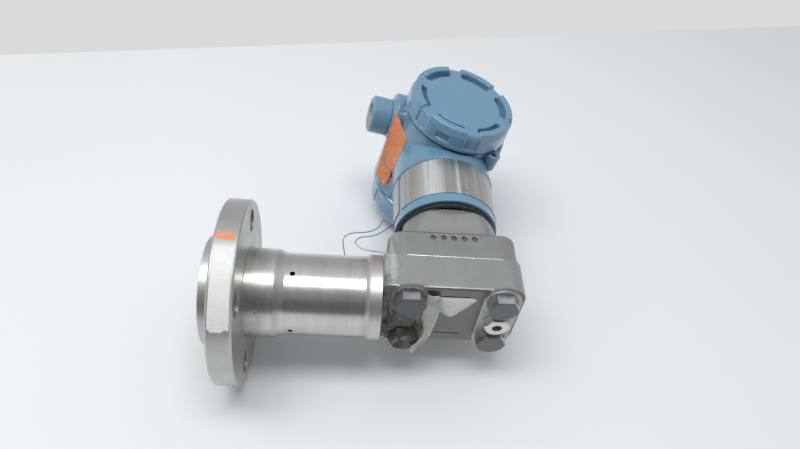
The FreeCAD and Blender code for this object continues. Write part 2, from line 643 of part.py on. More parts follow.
def housing_fittings():
    height = s.band_top - s.band_bottom
    inner = s.housing_neck_od / 2 + s.screw_fit
    outer = inner + s.band_thickness
    strip = turned("band_strip", [(inner, 0), (outer, 0), (outer, height), (inner, height)])
    set_place(strip, (0, s.band_bottom - s.housing_axis, 0), ALONG_Y)
    angle = math.radians(number(s.band_end))
    gap_turn = Rotation(Vector(0, 1, 0), -number(s.band_end))
    corner = (s.band_gap / 2 * math.sin(angle), s.band_bottom - s.housing_axis,
              s.band_gap / -2 * math.cos(angle))
    gap = brick("band_slot", s.housing_neck_od, height, s.band_gap, corner, gap_turn)
    finish_on_housing(cut("band", strip, [gap]), "nameplate_band")

    thread = s.conduit_bore / 2 - s.screw_fit
    hub = s.adapter_od / 2
    bore = s.adapter_bore / 2
    length = s.adapter_thread + s.adapter_length
    adapter = turned("conduit_hub", [
        (bore, 0), (thread, 0), (thread, s.adapter_thread), (hub, s.adapter_thread),
        (hub, length - s.mouth_chamfer), (hub - s.mouth_chamfer, length),
        (bore + s.mouth_chamfer, length), (bore, length - s.mouth_chamfer)])
    set_place(adapter, (s.adapter_thread - s.boss_reach, s.conduit_rise, s.conduit_height), BACK_ALONG_X)
    finish_on_housing(group("conduit_entry", [adapter]), "conduit_adapter")

    start = (s.boss_reach - s.plug_length, s.conduit_rise, s.conduit_height)
    plug = rod("plug_thread", s.conduit_bore - s.screw_fit * 2, s.plug_length, start, ALONG_X)
    socket_start = (s.boss_reach - s.plug_key_depth, s.conduit_rise, s.conduit_height)
    socket = hexagon("plug_socket", s.plug_key, s.plug_key_depth, socket_start, ALONG_X)
    finish_on_housing(cut("plug", plug, [socket]), "conduit_plug")

    screws = []
    for side, turn in ((1, UPRIGHT), (-1, Rotation(Vector(1, 0, 0), 180))):
        inside = s.barrel_half - s.lug_length
        head = lug_place(lock_radius, (inside - s.lock_head_height) * side)
        shank = lug_place(lock_radius, inside * side)
        screws.append(join("lock_screw", [
            rod("lock_head", s.lock_head, s.lock_head_height, head, turn),
            rod("lock_shank", s.lock_od, s.lock_length, shank, turn)]))
    finish_on_housing(group("lock_screws", screws), "cover_lock_screws")

    face = s.stub_od / 2 + s.set_screw_back
    length = s.housing_neck_od / 2 - face
    height = s.housing_bottom - s.housing_axis + s.set_screw_height
    down = Rotation(Vector(1, 0, 0), 180)
    grub = rod("grub_rod", s.set_screw_od, length - s.rest_gap, (0, height, -face), down)
    key = hexagon("grub_socket", s.set_screw_key, length / 2, (0, height, -face - length / 2), down)
    finish_on_housing(cut("grub", grub, [key]), "housing_set_screw")

    seat = (s.ground_reach, -s.ground_drop, s.ground_height)
    half = s.ground_washer / 2
    washer = brick("ground_clamp", s.ground_washer, s.ground_washer, s.ground_washer_thickness,
                   (s.ground_reach, -s.ground_drop - half, s.ground_height + half), ALONG_X)
    top = (s.ground_reach + s.ground_washer_thickness, -s.ground_drop, s.ground_height)
    head = rod("ground_head", s.ground_head, s.ground_head_height, top, ALONG_X)
    shank = rod("ground_shank", s.ground_screw_od, s.ground_depth - s.rest_gap, seat, BACK_ALONG_X)
    slot_base = (s.ground_reach + s.ground_washer_thickness + s.ground_head_height / 2,
                 -s.ground_drop - s.ground_head / 2, s.ground_height + s.ground_slot / 2)
    slot = brick("ground_slot", s.ground_slot, s.ground_head, s.ground_head_height, slot_base, ALONG_X)
    finish_on_housing(cut("ground", join("ground_parts", [washer, head, shank]), [slot]), "ground_screw")


def board():
    face = -board_seat - s.board_thickness
    disc = rod("board_disc", s.board_od, s.board_thickness, (0, 0, face))
    chips = []
    for x, y, width, depth, height in CHIPS:
        chips.append(brick("chip", width, depth, height, (x, y, face - height)))
    holes = [rod("board_hole", s.screw_od + s.hole_fit * 2, s.board_thickness, post_place(row, face))
             for row in range(3)]
    finish_on_housing(cut("board", join("board_parts", [disc] + chips), holes), "electronics_board")
    screws = []
    for row in range(3):
        head = post_place(row, face - s.screw_head_height)
        length = s.screw_length - s.rest_gap + s.board_thickness
        screws.append(join("board_screw", [
            rod("board_screw_head", s.screw_head, s.screw_head_height, head),
            rod("board_screw_shank", s.screw_od, length, post_place(row, face))]))
    finish_on_housing(group("board_screw_set", screws), "board_screws")


def terminals():
    top = s.wall_half + s.terminal_height
    seat = top - s.terminal_head_height
    block = brick("terminal_body", s.terminal_width, s.terminal_depth, s.terminal_height,
                  (s.terminal_width / -2, s.terminal_depth / -2 - s.terminal_drop, s.wall_half))
    tools = []
    screws = []
    for row in (-1, 0, 1):
        x = s.terminal_pitch * row
        well = (x, -s.terminal_drop, seat)
        tools.append(rod("terminal_well", s.terminal_head + s.well_fit * 2, s.terminal_head_height, well))
        tools.append(rod("terminal_hole", s.screw_od + s.screw_fit * 2, s.terminal_length,
                         (x, -s.terminal_drop, seat - s.terminal_length)))
        head = rod("terminal_head", s.terminal_head, s.terminal_head_height, well)
        length = s.terminal_length - s.rest_gap
        shank = rod("terminal_shank", s.screw_od, length, (x, -s.terminal_drop, seat - length))
        groove = brick("terminal_slot", s.terminal_head, s.terminal_slot, s.terminal_head_height / 2,
                       (x - s.terminal_head / 2, -s.terminal_drop - s.terminal_slot / 2,
                        top - s.terminal_head_height / 2))
        screws.append(cut("slotted_screw", join("terminal_screw", [head, shank]), [groove]))
        entry = s.terminal_depth / 2 - s.terminal_head / 2
        tools.append(brick("wire_entry", s.terminal_head, entry, s.terminal_head_height,
                           (x - s.terminal_head / 2, -s.terminal_drop - s.terminal_depth / 2, seat)))
    finish_on_housing(cut("terminals", block, tools), "terminal_block")
    finish_on_housing(group("terminal_screw_set", screws), "terminal_screws")


def cover(name, side, depth):
    rim = s.cover_od / 2
    stem = s.mouth_bore / 2 - s.running_fit
    bore = stem - s.cover_wall
    floor = depth - s.lug_rise
    inner = rim - s.cover_rim
    ring_top = -s.ring_place
    ring_low = -s.ring_place - s.cover_ring - s.screw_fit * 2
    groove = stem - s.cover_ring - s.screw_fit * 2
    body = turned(name + "_body", [
        (0, floor - s.cover_wall), (bore, floor - s.cover_wall), (bore, -s.cover_plug),
        (stem, -s.cover_plug), (stem, ring_low), (groove, ring_low), (groove, ring_top), (stem, ring_top),
        (stem, 0), (rim - s.cover_edge, 0), (rim, s.cover_edge), (rim, depth - s.cover_bevel),
        (rim - s.cover_bevel, depth), (inner, depth), (inner - s.cover_edge, floor),
        (s.disc_od / 2, floor), (s.disc_od / 2 - s.disc_rise, floor + s.disc_rise),
        (0, floor + s.disc_rise)])
    sketch = new_sketch(body, name + "_valley", "XY_Plane", depth)
    half = s.valley_width / 2
    outline(sketch, [(inner - s.cover_rim, -half), (rim + s.cover_edge, -half),
                     (rim + s.cover_edge, half), (inner - s.cover_rim, half)])
    repeat(body, pocket(body, sketch, s.lug_rise - s.disc_rise), 6)
    angle = math.radians(number(s.key_angle))
    reach = rim - s.key_depth
    corner = (reach * math.cos(angle) + s.key_width / 2 * math.sin(angle),
              reach * math.sin(angle) - s.key_width / 2 * math.cos(angle),
              depth - s.key_drop - s.key_height)
    key = brick(name + "_key", s.key_depth, s.key_width, s.key_height, corner,
                Rotation(Vector(0, 0, 1), number(s.key_angle)))
    height = s.barrel_half + s.cover_gap
    base = (module_x + height * turn_sin * side, s.housing_axis, height * turn_cos * side)
    turn = number(s.housing_turn) + (0 if side > 0 else 180)
    clock = Rotation(Vector(0, 0, 1), number(s.cover_clock))
    finish(cut(name, body, [key]), name, base, Rotation(Vector(0, 1, 0), turn) * clock)
    middle = height - s.ring_place - s.cover_ring / 2 - s.screw_fit
    across = stem * 2 - s.cover_ring - s.screw_fit * 2
    base = (module_x + middle * turn_sin * side, s.housing_axis, middle * turn_cos * side)
    seal = ring(name + "_seal", across, s.cover_ring)
    finish(seal, name + "_o_ring", base, Rotation(Vector(0, 1, 0), turn))


def tag_wire():
    points = [Vector(*point) for point in WIRE_ROUTE]
    edges = []
    radii = []
    start = points[0]
    for before, here, after in zip(points, points[1:], points[2:]):
        back = before - here
        ahead = after - here
        turn = math.pi - back.getAngle(ahead)
        radius = 0.45 * min(back.Length, ahead.Length) / math.tan(turn / 2)
        trim = radius * math.tan(turn / 2)
        back.normalize()
        ahead.normalize()
        middle = back + ahead
        middle.normalize()
        first = here + back * trim
        last = here + ahead * trim
        centre = here + middle * (radius / math.cos(turn / 2))
        edges.append(Part.LineSegment(start, first).toShape())
        edges.append(Part.Arc(first, centre - middle * radius, last).toShape())
        radii.append(round(radius, 1))
        start = last
    edges.append(Part.LineSegment(start, points[-1]).toShape())
    path = Part.Wire(edges)
    section = Part.Wire([Part.Circle(points[0], points[1] - points[0], number(s.wire_od) / 2).toShape()])
    tube = path.makePipeShell([section], True, False)
    expected = path.Length * math.pi * number(s.wire_od) ** 2 / 4
    print("tag wire: length %.1f, volume %.2f of %.2f" % (path.Length, tube.Volume, expected))
    print("tag wire radii:", radii)
    wire = doc.addObject("Part::Feature", "tag_wire_tube")
    wire.Shape = tube
    finish(wire, "tag_wire")


def tape_strip():
    front = pad_face - s.bolt_head_height - s.tape_thickness
    wall = pad_face - s.rest_gap
    thick = s.tape_thickness
    body = doc.addObject("PartDesign::Body", "tape")
    sketch = new_sketch(body, "tape_side", "YZ_Plane")
    outline(sketch, [
        (wall, 0), (wall, -s.tape_bend), (front, -s.tape_turn), (front - thick * 2, -s.tape_drop),
        (front - thick * 3, -s.tape_drop), (front - thick, -s.tape_turn), (wall - thick, -s.tape_bend),
        (wall - thick, 0)])
    pad(body, sketch, s.tape_width)
    base = (module_x - s.tape_offset, 0, s.tape_height)
    finish(body, "tape_strip", base, Rotation(Vector(0, 1, 0), number(s.tape_lean)))


def check_and_write():
    doc.recompute()
    broken = [item.Name for item in doc.Objects if "Invalid" in item.State or "Error" in item.State]
    broken += [item.Label for item in finished if item.Shape.isNull() or not item.Shape.isValid()]
    if broken:
        raise RuntimeError("failed objects: " + ", ".join(broken))
    os.makedirs("parts", exist_ok=True)
    for item in finished:
        item.Shape.exportStep("parts/%s.step" % item.Label)
        print("%-22s solids %d volume %.1f" % (item.Label, len(item.Shape.Solids), item.Shape.Volume))


groove_od = s.stub_od + s.groove_wall * 2
isolator_depth = s.process_ring + s.isolator_thickness + s.screw_fit
board_seat = s.wall_half + s.post_height
lock_radius = s.barrel_od / 2 + s.lock_head / 2 + s.rest_gap

process_flange()
seal_diaphragm()
extension_tube()
tube_inside()
coplanar_flange()
sensor_module()
module_fittings()
flange_bolts()
vent_valve()
housing()
housing_fittings()
board()
terminals()
cover("front_cover", 1, s.front_height)
cover("rear_cover", -1, s.rear_height)
tag_wire()
tape_strip()
check_and_write()
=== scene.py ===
import json
import math
import random

import bmesh
import bpy
from mathutils import Matrix, Vector, noise
from mathutils.bvhtree import BVHTree


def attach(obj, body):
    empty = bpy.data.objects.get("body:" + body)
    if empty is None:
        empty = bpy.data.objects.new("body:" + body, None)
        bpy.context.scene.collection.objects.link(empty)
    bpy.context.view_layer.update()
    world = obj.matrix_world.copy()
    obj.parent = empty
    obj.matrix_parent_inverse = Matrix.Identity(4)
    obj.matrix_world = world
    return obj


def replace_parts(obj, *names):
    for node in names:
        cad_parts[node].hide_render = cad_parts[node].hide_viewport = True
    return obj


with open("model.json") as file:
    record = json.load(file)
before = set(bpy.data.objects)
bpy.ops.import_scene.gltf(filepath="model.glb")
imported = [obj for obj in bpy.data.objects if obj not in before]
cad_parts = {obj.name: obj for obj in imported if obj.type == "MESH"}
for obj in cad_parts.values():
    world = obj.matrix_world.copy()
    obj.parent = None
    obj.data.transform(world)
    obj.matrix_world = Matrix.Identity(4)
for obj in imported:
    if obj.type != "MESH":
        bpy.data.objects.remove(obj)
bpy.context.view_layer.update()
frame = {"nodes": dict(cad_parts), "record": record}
nodes = frame["nodes"]
mm = 0.001
fullTurn = 6.283  # radians in one turn of a ruled pattern
housingCentre = (167.1, 154.0, 0.0)  # where the covers' axis meets the module's, in millimetres
housingTurn = 12.0  # degrees of swivel on the neck
print("frame loaded:", len(nodes), "nodes")


def scaled(parts, share):
    return tuple(part * share for part in parts)


# A shader value: Python maths on it adds Math nodes
class Value:
    def __init__(self, graph, socket):
        self.graph = graph
        self.socket = socket

    def maths(self, operation, other=0.0, swapped=False):
        pair = {0: other, 1: self} if swapped else {0: self, 1: other}
        return self.graph.node("Math", {"operation": operation}, pair)

    def __add__(self, other):
        return self.maths("ADD", other)

    def __radd__(self, other):
        return self.maths("ADD", other, True)

    def __sub__(self, other):
        return self.maths("SUBTRACT", other)

    def __rsub__(self, other):
        return self.maths("SUBTRACT", other, True)

    def __mul__(self, other):
        return self.maths("MULTIPLY", other)

    def __rmul__(self, other):
        return self.maths("MULTIPLY", other, True)

    def __truediv__(self, other):
        return self.maths("DIVIDE", other)

    def __rtruediv__(self, other):
        return self.maths("DIVIDE", other, True)

    def __pow__(self, other):
        return self.maths("POWER", other)

    def __rpow__(self, other):
        return self.maths("POWER", other, True)

    def size(self):
        return self.maths("ABSOLUTE")

    def sine(self):
        return self.maths("SINE")

    def top(self, other):
        return self.maths("MAXIMUM", other)

    def low(self, other):
        return self.maths("MINIMUM", other)


# A node tree under construction, of the world or a material
class Graph:
    def __init__(self, tree, coordinates):
        self.tree = tree
        self.tree.nodes.clear()
        self.place = self.node("TexCoord", output=coordinates)

    def feed(self, socket, value):
        if isinstance(value, Value):
            self.tree.links.new(value.socket, socket)
        elif isinstance(value, tuple) and len(value) == 3 and socket.type == "RGBA":
            socket.default_value = (*value, 1.0)
        else:
            socket.default_value = value

    def node(self, kind, settings=None, inputs=None, output=0):
        made = self.tree.nodes.new("ShaderNode" + kind)
        for key, value in (settings or {}).items():
            setattr(made, key, value)
        for key, value in (inputs or {}).items():
            self.feed(made.inputs[key], value)
        return Value(self, made.outputs[output])

    def axis(self, letter):
        return self.node("SeparateXYZ", None, {0: self.place}, "XYZ".index(letter))

    def band(self, value, low, high):
        inputs = {"Value": value, "From Min": low, "From Max": high}
        return self.node("MapRange", {"interpolation_type": "SMOOTHSTEP"}, inputs)

    def between(self, value, low, high, soft):
        return self.band(value, low - soft, low + soft) * (1.0 - self.band(value, high - soft, high + soft))

    def mix(self, factor, first, second):
        return self.node("Mix", {"data_type": "RGBA"}, {0: factor, 6: first, 7: second}, 2)


# One material under construction
class Finish(Graph):
    def __init__(self, name):
        self.material = bpy.data.materials.new(name)
        self.material.use_nodes = True
        super().__init__(self.material.node_tree, "Object")
        self.shader = self.tree.nodes.new("ShaderNodeBsdfPrincipled")
        output = self.tree.nodes.new("ShaderNodeOutputMaterial")
        self.tree.links.new(self.shader.outputs[0], output.inputs[0])

    def stretched(self, x, y, z):
        return self.node("VectorMath", {"operation": "MULTIPLY"}, {0: self.place, 1: (x, y, z)})

    def noise(self, scale, detail=3.0, roughness=0.55, vector=None):
        inputs = {"Vector": vector or self.place, "Scale": scale, "Detail": detail, "Roughness": roughness}
        return self.node("TexNoise", None, inputs)

    def cells(self, scale, randomness=1.0, vector=None):
        inputs = {"Vector": vector or self.place, "Scale": scale, "Randomness": randomness}
        return self.node("TexVoronoi", None, inputs, "Distance")

    def edges(self, radius):
        rounded = self.node("Bevel", {"samples": 6}, {"Radius": radius})
        flat = self.node("NewGeometry", output="Normal")
        return 1.0 - self.node("VectorMath", {"operation": "DOT_PRODUCT"}, {0: rounded, 1: flat}, "Value")

    # Occlusion by nearby surfaces, near 1 in hollows; mixed into a colour it paints shade there
    def crevices(self, reach):
        return 1.0 - self.node("AmbientOcclusion", {"samples": 6}, {"Distance": reach}, "AO")

    def near(self, point, reach):
        inputs = {0: self.place, 1: scaled(point, mm)}
        apart = self.node("VectorMath", {"operation": "DISTANCE"}, inputs, "Value")
        return 1.0 - self.band(apart, 0.0, reach * mm)

    def marks(self, places):
        found = self.near(*places[0])
        for place in places[1:]:
            found = found.top(self.near(*place))
        return found

    def bump(self, height, depth, softEdge=None):
        inputs = {"Height": height, "Distance": depth, "Strength": 1.0}
        if softEdge:
            inputs["Normal"] = self.node("Bevel", {"samples": 6}, {"Radius": softEdge})
        return self.node("Bump", None, inputs)

    def set(self, **inputs):
        words = {"BaseColor": "Base Color", "CoatWeight": "Coat Weight", "CoatRoughness": "Coat Roughness",
                 "Specular": "Specular IOR Level"}
        for key, value in inputs.items():
            self.feed(self.shader.inputs[words.get(key, key)], value)
        return self.material


# Bare and plated metals. Ends and faces are places along an axis in metres, spots are in millimetres with their reach
steelLook = {
    "flange": {"colour": (0.57, 0.575, 0.555), "dull": (0.48, 0.485, 0.465), "stain": (0.30, 0.29, 0.26),
               "worn": (0.80, 0.80, 0.78), "rough": 0.32, "lines": 900.0},
    "tube": {"colour": (0.612, 0.605, 0.587), "dull": (0.568, 0.560, 0.541), "tint": (0.40, 0.375, 0.345),
             "pit": (0.10, 0.075, 0.055), "rough": 0.22, "lines": 2600.0, "foot": (0.1075, 0.1090),
             "welds": ((0.0265, 0.0420, 0.006, 0.8), (0.0455, 0.0500, 0.002, 0.6),
                       (0.1040, 0.1085, 0.0015, 0.5)),
             "pits": (((47.1, -12.1, 27.4), 2.6), ((96.0, -8.0, 26.9), 4.5), ((34.6, -27.2, 13.6), 4.0))},
    # cast front: dark tone painted on the faces towards -Y as shade
    "cast": {"colour": (0.372, 0.382, 0.382), "front": (0.13, 0.128, 0.125), "milled": (0.46, 0.45, 0.425),
             "streak": (0.20, 0.19, 0.17), "worn": (0.80, 0.81, 0.80), "rough": 0.40, "grain": 1500.0,
             "padFace": (-0.0146, -0.0138), "frontFace": (-0.0122, -0.0112), "padEnd": (0.1485, 0.1505),
             "tubeEnd": (0.1165, 0.1250), "filmEnd": (0.122, 0.139), "paleEdge": (0.1195, 0.1262, 0.0022),
             "paleFrom": (-0.012, -0.004), "rust": (((144.2, -9.6, 31.6), 4.6), ((134.0, -10.0, 31.5), 4.0))},
    "module": {"colour": (0.335, 0.345, 0.347)},
    # zinc front: dark tone painted on the head faces towards -Y as shade
    # zinc pale: tone painted on the bolt-head edges as highlight
    "zinc": {"colour": (0.37, 0.385, 0.395), "pale": (0.58, 0.60, 0.61), "front": (0.11, 0.115, 0.12),
             "black": (0.028, 0.028, 0.027), "rough": 0.33, "leftEnd": (0.148, 0.160),
             "lowEnd": (-0.012, 0.010), "headFace": (-0.0220, -0.0212)},
    # bright grime: dark tone painted in hollows as shade, mixed with grime
    "bright": {"colour": (0.74, 0.74, 0.72), "dull": (0.60, 0.60, 0.58), "grimeAndShade": (0.10, 0.09, 0.07),
               "rough": 0.22},
    # dirt: dark tone for dirt and crust, also painted as shade in hollows
    "dirt": (0.075, 0.068, 0.058), "soil": (0.23, 0.215, 0.18), "residue": (0.42, 0.47, 0.445),
    "rust": (0.25, 0.145, 0.085),
}


def flangeSteel():
    look = steelLook["flange"]
    f = Finish("turnedSteel")
    radius = (f.axis("Y") ** 2 + f.axis("Z") ** 2) ** 0.5
    rings = (radius * look["lines"] * fullTurn).sine()
    cloud = f.noise(38.0, 4.0)
    fine = f.noise(420.0, 3.0, vector=f.stretched(1.0, 0.25, 0.25))
    stain = f.band(f.noise(55.0, 5.0, 0.65), 0.55, 0.78)
    # Darker in hollows from the occlusion mask: painted shade, with dirt patches from the noise
    dirt = f.band(f.crevices(0.006) + f.noise(160.0) * 0.3, 0.45, 0.8)
    scuff = f.band(f.noise(600.0, 2.0, vector=f.stretched(0.15, 1.0, 1.0)), 0.68, 0.74)
    colour = f.mix(f.band(cloud, 0.3, 0.7), look["colour"], look["dull"])
    colour = f.mix(stain * 0.35, colour, look["stain"])
    colour = f.mix(dirt * 0.7, colour, steelLook["dirt"])
    worn = f.band(f.edges(0.0009), 0.02, 0.16)
    colour = f.mix(worn * 0.6, colour, look["worn"])
    rough = look["rough"] + (cloud - 0.5) * 0.22 + fine * 0.06 + dirt * 0.25 + scuff * 0.1
    height = rings * 0.25 + fine - scuff * 0.6
    return f.set(BaseColor=colour, Metallic=0.9 - dirt * 0.6, Roughness=rough,
                 Normal=f.bump(height, 0.00005, 0.0006))


def tubeSteel():
    look = steelLook["tube"]
    f = Finish("polishedSteel")
    along = f.axis("X")
    lines = f.noise(look["lines"], 2.0, vector=f.stretched(1.0, 0.02, 0.02))
    wide = f.noise(240.0, 3.0, vector=f.stretched(1.0, 0.05, 0.05))
    cloud = f.noise(60.0, 4.0)
    scratch = f.band(f.noise(700.0, 2.0, vector=f.stretched(0.35, 1.0, 0.15)), 0.72, 0.78)
    welds = [f.between(along, *place) * strength for *place, strength in look["welds"]]
    tint = welds[0].top(welds[1]).top(welds[2])
    tint = tint * (0.55 + f.band(f.noise(95.0, 4.0, 0.6), 0.30, 0.68) * 0.45)
    colour = f.mix(f.band(wide, 0.35, 0.65), look["colour"], look["dull"])
    colour = f.mix(tint, colour, look["tint"])
    pits = f.marks(look["pits"]) * f.band(f.noise(620.0, 3.0), 0.54, 0.60)
    colour = f.mix(pits * 0.9, colour, look["pit"])
    foot = f.band(along, *look["foot"]) * 0.16
    rough = look["rough"] + (lines - 0.5) * 0.14 + (cloud - 0.5) * 0.10 + scratch * 0.15 + tint * 0.12 + foot
    height = lines * 0.35 + wide * 0.15 - pits * 8.0 - scratch * 0.8
    return f.set(BaseColor=colour, Metallic=1.0 - pits * 0.6, Roughness=rough,
                 Normal=f.bump(height, 0.000018, 0.0004))


# Blasted castings: the end by the tube and the left bolt pad are caked with dirt, the corner carries pale residue;
# the faces towards -Y and the hollows take painted shade
def castSteel(name, colour):
    look = steelLook["cast"]
    f = Finish(name)
    grain = f.noise(look["grain"], 3.0, 0.6)
    cloud = f.noise(45.0, 4.0)
    wander = (f.noise(150.0, 5.0, 0.65) - 0.5) * 0.010
    along = f.axis("X") + wander
    depth = f.axis("Y")
    runs = f.noise(260.0, 4.0, 0.6, f.stretched(1.0, 0.22, 0.5))
    pad = 1.0 - f.band(depth, *look["padFace"])
    leftPad = pad * (1.0 - f.band(along, *look["padEnd"]))
    caked = (1.0 - f.band(along, *look["tubeEnd"])).top(leftPad * 0.9)
    pale = f.between(along, *look["paleEdge"]) * f.band(runs, 0.36, 0.56) * f.band(depth, *look["paleFrom"])
    film = (1.0 - f.band(along, *look["filmEnd"])) * f.band(f.noise(120.0, 5.0, 0.65), 0.42, 0.64)
    # Darker in hollows from the occlusion mask: painted shade, with dirt from the noise
    corner = f.band(f.crevices(0.004) + f.noise(200.0) * 0.22, 0.50, 0.85)
    streak = f.band(f.noise(90.0, 4.0, vector=f.stretched(1.0, 0.25, 0.6)), 0.58, 0.74)
    body = f.mix(f.band(cloud, 0.3, 0.7), colour, scaled(colour, 0.88))
    # Faces towards -Y darkened: painted shade
    front = 1.0 - f.band(depth, *look["frontFace"])
    body = f.mix(front * 0.72, body, look["front"])
    body = f.mix(pad * 0.9, body, look["milled"])
    body = f.mix(streak * 0.16, body, look["streak"])
    worn = f.band(f.edges(0.0010), 0.03, 0.2) * f.band(f.noise(70.0), 0.28, 0.52)
    body = f.mix(worn * 0.85, body, look["worn"])
    body = f.mix(film * 0.45, body, steelLook["soil"])
    crust = f.mix(f.band(runs, 0.40, 0.62), steelLook["dirt"], steelLook["soil"])
    body = f.mix(caked * 0.8, body, crust)
    body = f.mix(pale * 0.8, body, steelLook["residue"])
    body = f.mix(corner * 0.6, body, steelLook["dirt"])
    strong, weak = (f.near(*place) for place in look["rust"])
    rust = strong.top(weak * 0.7)
    rust = rust * (0.45 + f.band(f.noise(420.0, 4.0), 0.36, 0.62) * 0.55)
    body = f.mix(rust * 0.9, body, steelLook["rust"])
    dull = (caked + corner + rust + pale).low(1.0)
    rough = look["rough"] + (cloud - 0.5) * 0.16 + dull * 0.3
    height = grain * (0.5 + caked * 3.0) + f.noise(330.0, 4.0) * (caked + pale) * 5.0
    return f.set(BaseColor=body, Metallic=0.85 - dull * 0.78, Roughness=rough,
                 Normal=f.bump(height, 0.00007, 0.0008))


def zincSteel():
    look = steelLook["zinc"]
    f = Finish("zincPlate")
    cloud = f.noise(130.0, 4.0)
    # Bolt-head edges lightened: painted highlight
    edge = f.band(f.edges(0.0007), 0.02, 0.14)
    colour = f.mix(f.band(cloud, 0.35, 0.65), look["colour"], scaled(look["colour"], 1.2))
    colour = f.mix(edge * 0.6, colour, look["pale"])
    dirt = f.band(f.noise(210.0, 5.0, 0.7), 0.52, 0.68) * 0.25
    left = 1.0 - f.band(f.axis("X"), *look["leftEnd"])
    lowEnd = 1.0 - f.band(f.axis("Z") + (f.noise(150.0, 5.0, 0.7) - 0.5) * 0.02, *look["lowEnd"])
    black = left * (0.25 + lowEnd)
    # Head faces towards -Y darkened: painted shade
    front = 1.0 - f.band(f.axis("Y"), *look["headFace"])
    colour = f.mix(front * 0.86, colour, look["front"])
    colour = f.mix(dirt * 0.9, colour, steelLook["dirt"])
    colour = f.mix(black.low(0.85), colour, look["black"])
    soil = left * lowEnd * f.band(f.noise(190.0, 5.0, 0.7), 0.50, 0.62)
    colour = f.mix(soil * 0.8, colour, steelLook["soil"])
    dull = (dirt + black * 0.6 + soil).low(1.0)
    rough = look["rough"] + (cloud - 0.5) * 0.2 + dull * 0.3
    return f.set(BaseColor=colour, Metallic=0.9 - dull * 0.75, Roughness=rough,
                 Normal=f.bump(f.noise(700.0, 3.0) + soil * f.noise(260.0) * 5.0, 0.00008, 0.0005))


def brightSteel():
    look = steelLook["bright"]
    f = Finish("brightSteel")
    cloud = f.noise(160.0, 4.0)
    # Darker in hollows from the occlusion mask: painted shade, with grime from the noise
    dirt = f.band(f.crevices(0.002) + f.noise(330.0) * 0.3, 0.55, 0.9)
    colour = f.mix(dirt, f.mix(cloud, look["colour"], look["dull"]), look["grimeAndShade"])
    return f.set(BaseColor=colour, Metallic=0.85 - dirt * 0.5, Roughness=look["rough"] + cloud * 0.14 + dirt * 0.3,
                 Normal=f.bump(f.noise(900.0), 0.00003, 0.0004))


# Gloss paint on the housing and covers; hollows take painted shade mixed with grime
paintLook = {"colour": (0.136, 0.290, 0.428), "pale": (0.27, 0.45, 0.57), "grimeAndShade": (0.045, 0.065, 0.08),
             "chip": (0.42, 0.42, 0.41), "rough": 0.27, "peel": 520.0}


def bluePaint():
    look = paintLook
    f = Finish("bluePaint")
    cloud = f.noise(34.0, 4.0)
    peel = f.noise(look["peel"], 2.0)
    edge = f.band(f.edges(0.0012), 0.03, 0.22)
    rubbed = edge * f.band(f.noise(110.0, 4.0), 0.38, 0.66)
    # Darker in hollows and recesses from the occlusion mask: painted shade, with grime from the noise
    grimeAndShade = f.band(f.crevices(0.0045) + f.noise(190.0, 4.0) * 0.22, 0.36, 0.80)
    scuff = f.band(f.noise(210.0, 5.0, 0.7, f.stretched(1.0, 0.5, 1.4)), 0.66, 0.74)
    chips = f.band(f.noise(160.0, 5.0, 0.7), 0.70, 0.73) * edge
    colour = f.mix(f.band(cloud, 0.25, 0.75), look["colour"], scaled(look["colour"], 0.93))
    colour = f.mix(rubbed * 0.6 + scuff * 0.18, colour, look["pale"])
    colour = f.mix(grimeAndShade * 0.75, colour, look["grimeAndShade"])
    colour = f.mix(chips * 0.8, colour, look["chip"])
    rough = look["rough"] + (cloud - 0.5) * 0.12 + scuff * 0.15 + grimeAndShade * 0.25
    return f.set(BaseColor=colour, Metallic=chips * 0.6, Roughness=rough, CoatWeight=0.8 - grimeAndShade * 0.6,
                 CoatRoughness=0.06, Normal=f.bump(peel, 0.00006, 0.0016))


# Brushed band round the neck: painted reflections as bright panels along X, fine ruling in Y, one brown spot
bandLook = {
    "colour": (0.41, 0.405, 0.385), "pale": (0.50, 0.495, 0.475), "paintedReflection": (0.84, 0.85, 0.85),
    "mark": (0.20, 0.19, 0.175), "stain": (0.17, 0.13, 0.095), "rough": 0.20, "ruling": 0.0026,
    # panels: places along X of the painted reflections
    "panels": ((0.1465, 0.1605, 0.0045), (0.1705, 0.1735, 0.0014)), "spot": ((178.0, 74.0, 38.0), 7.0),
}


def bandSteel():
    look = bandLook
    f = Finish("brushedBand")
    along = f.axis("X")
    height = f.axis("Y")
    brushed = f.noise(900.0, 2.0, vector=f.stretched(1.0, 0.03, 1.0))
    panels = f.noise(420.0, 2.0, vector=f.stretched(1.0, 0.02, 0.3))
    smear = f.noise(75.0, 5.0, 0.65)
    wide, narrow = (f.between(along, *place) for place in look["panels"])
    # Bright strips at set places along X: painted reflection
    paintedReflection = wide.top(narrow) * (0.55 + f.band(panels, 0.40, 0.60) * 0.45)
    lines = (height * fullTurn / look["ruling"]).sine()
    rule = f.band(lines, 0.70, 0.98) * (0.35 + f.band(smear, 0.40, 0.62) * 0.65)
    spots = f.band(f.noise(330.0, 4.0, 0.7), 0.66, 0.72)
    patch = f.near(*look["spot"]) * f.band(f.noise(280.0, 4.0), 0.42, 0.58)
    colour = f.mix(f.band(panels, 0.36, 0.64), look["colour"], look["pale"])
    colour = f.mix(paintedReflection, colour, look["paintedReflection"])
    colour = f.mix(rule * 0.30 + spots * 0.3, colour, look["mark"])
    colour = f.mix(patch * 0.7, colour, look["stain"])
    return f.set(BaseColor=colour, Metallic=0.92 - (spots + patch).low(1.0) * 0.5,
                 Roughness=look["rough"] + brushed * 0.14 + smear * 0.06,
                 Normal=f.bump(brushed + panels * 4.0 - rule * 0.8, 0.00006))


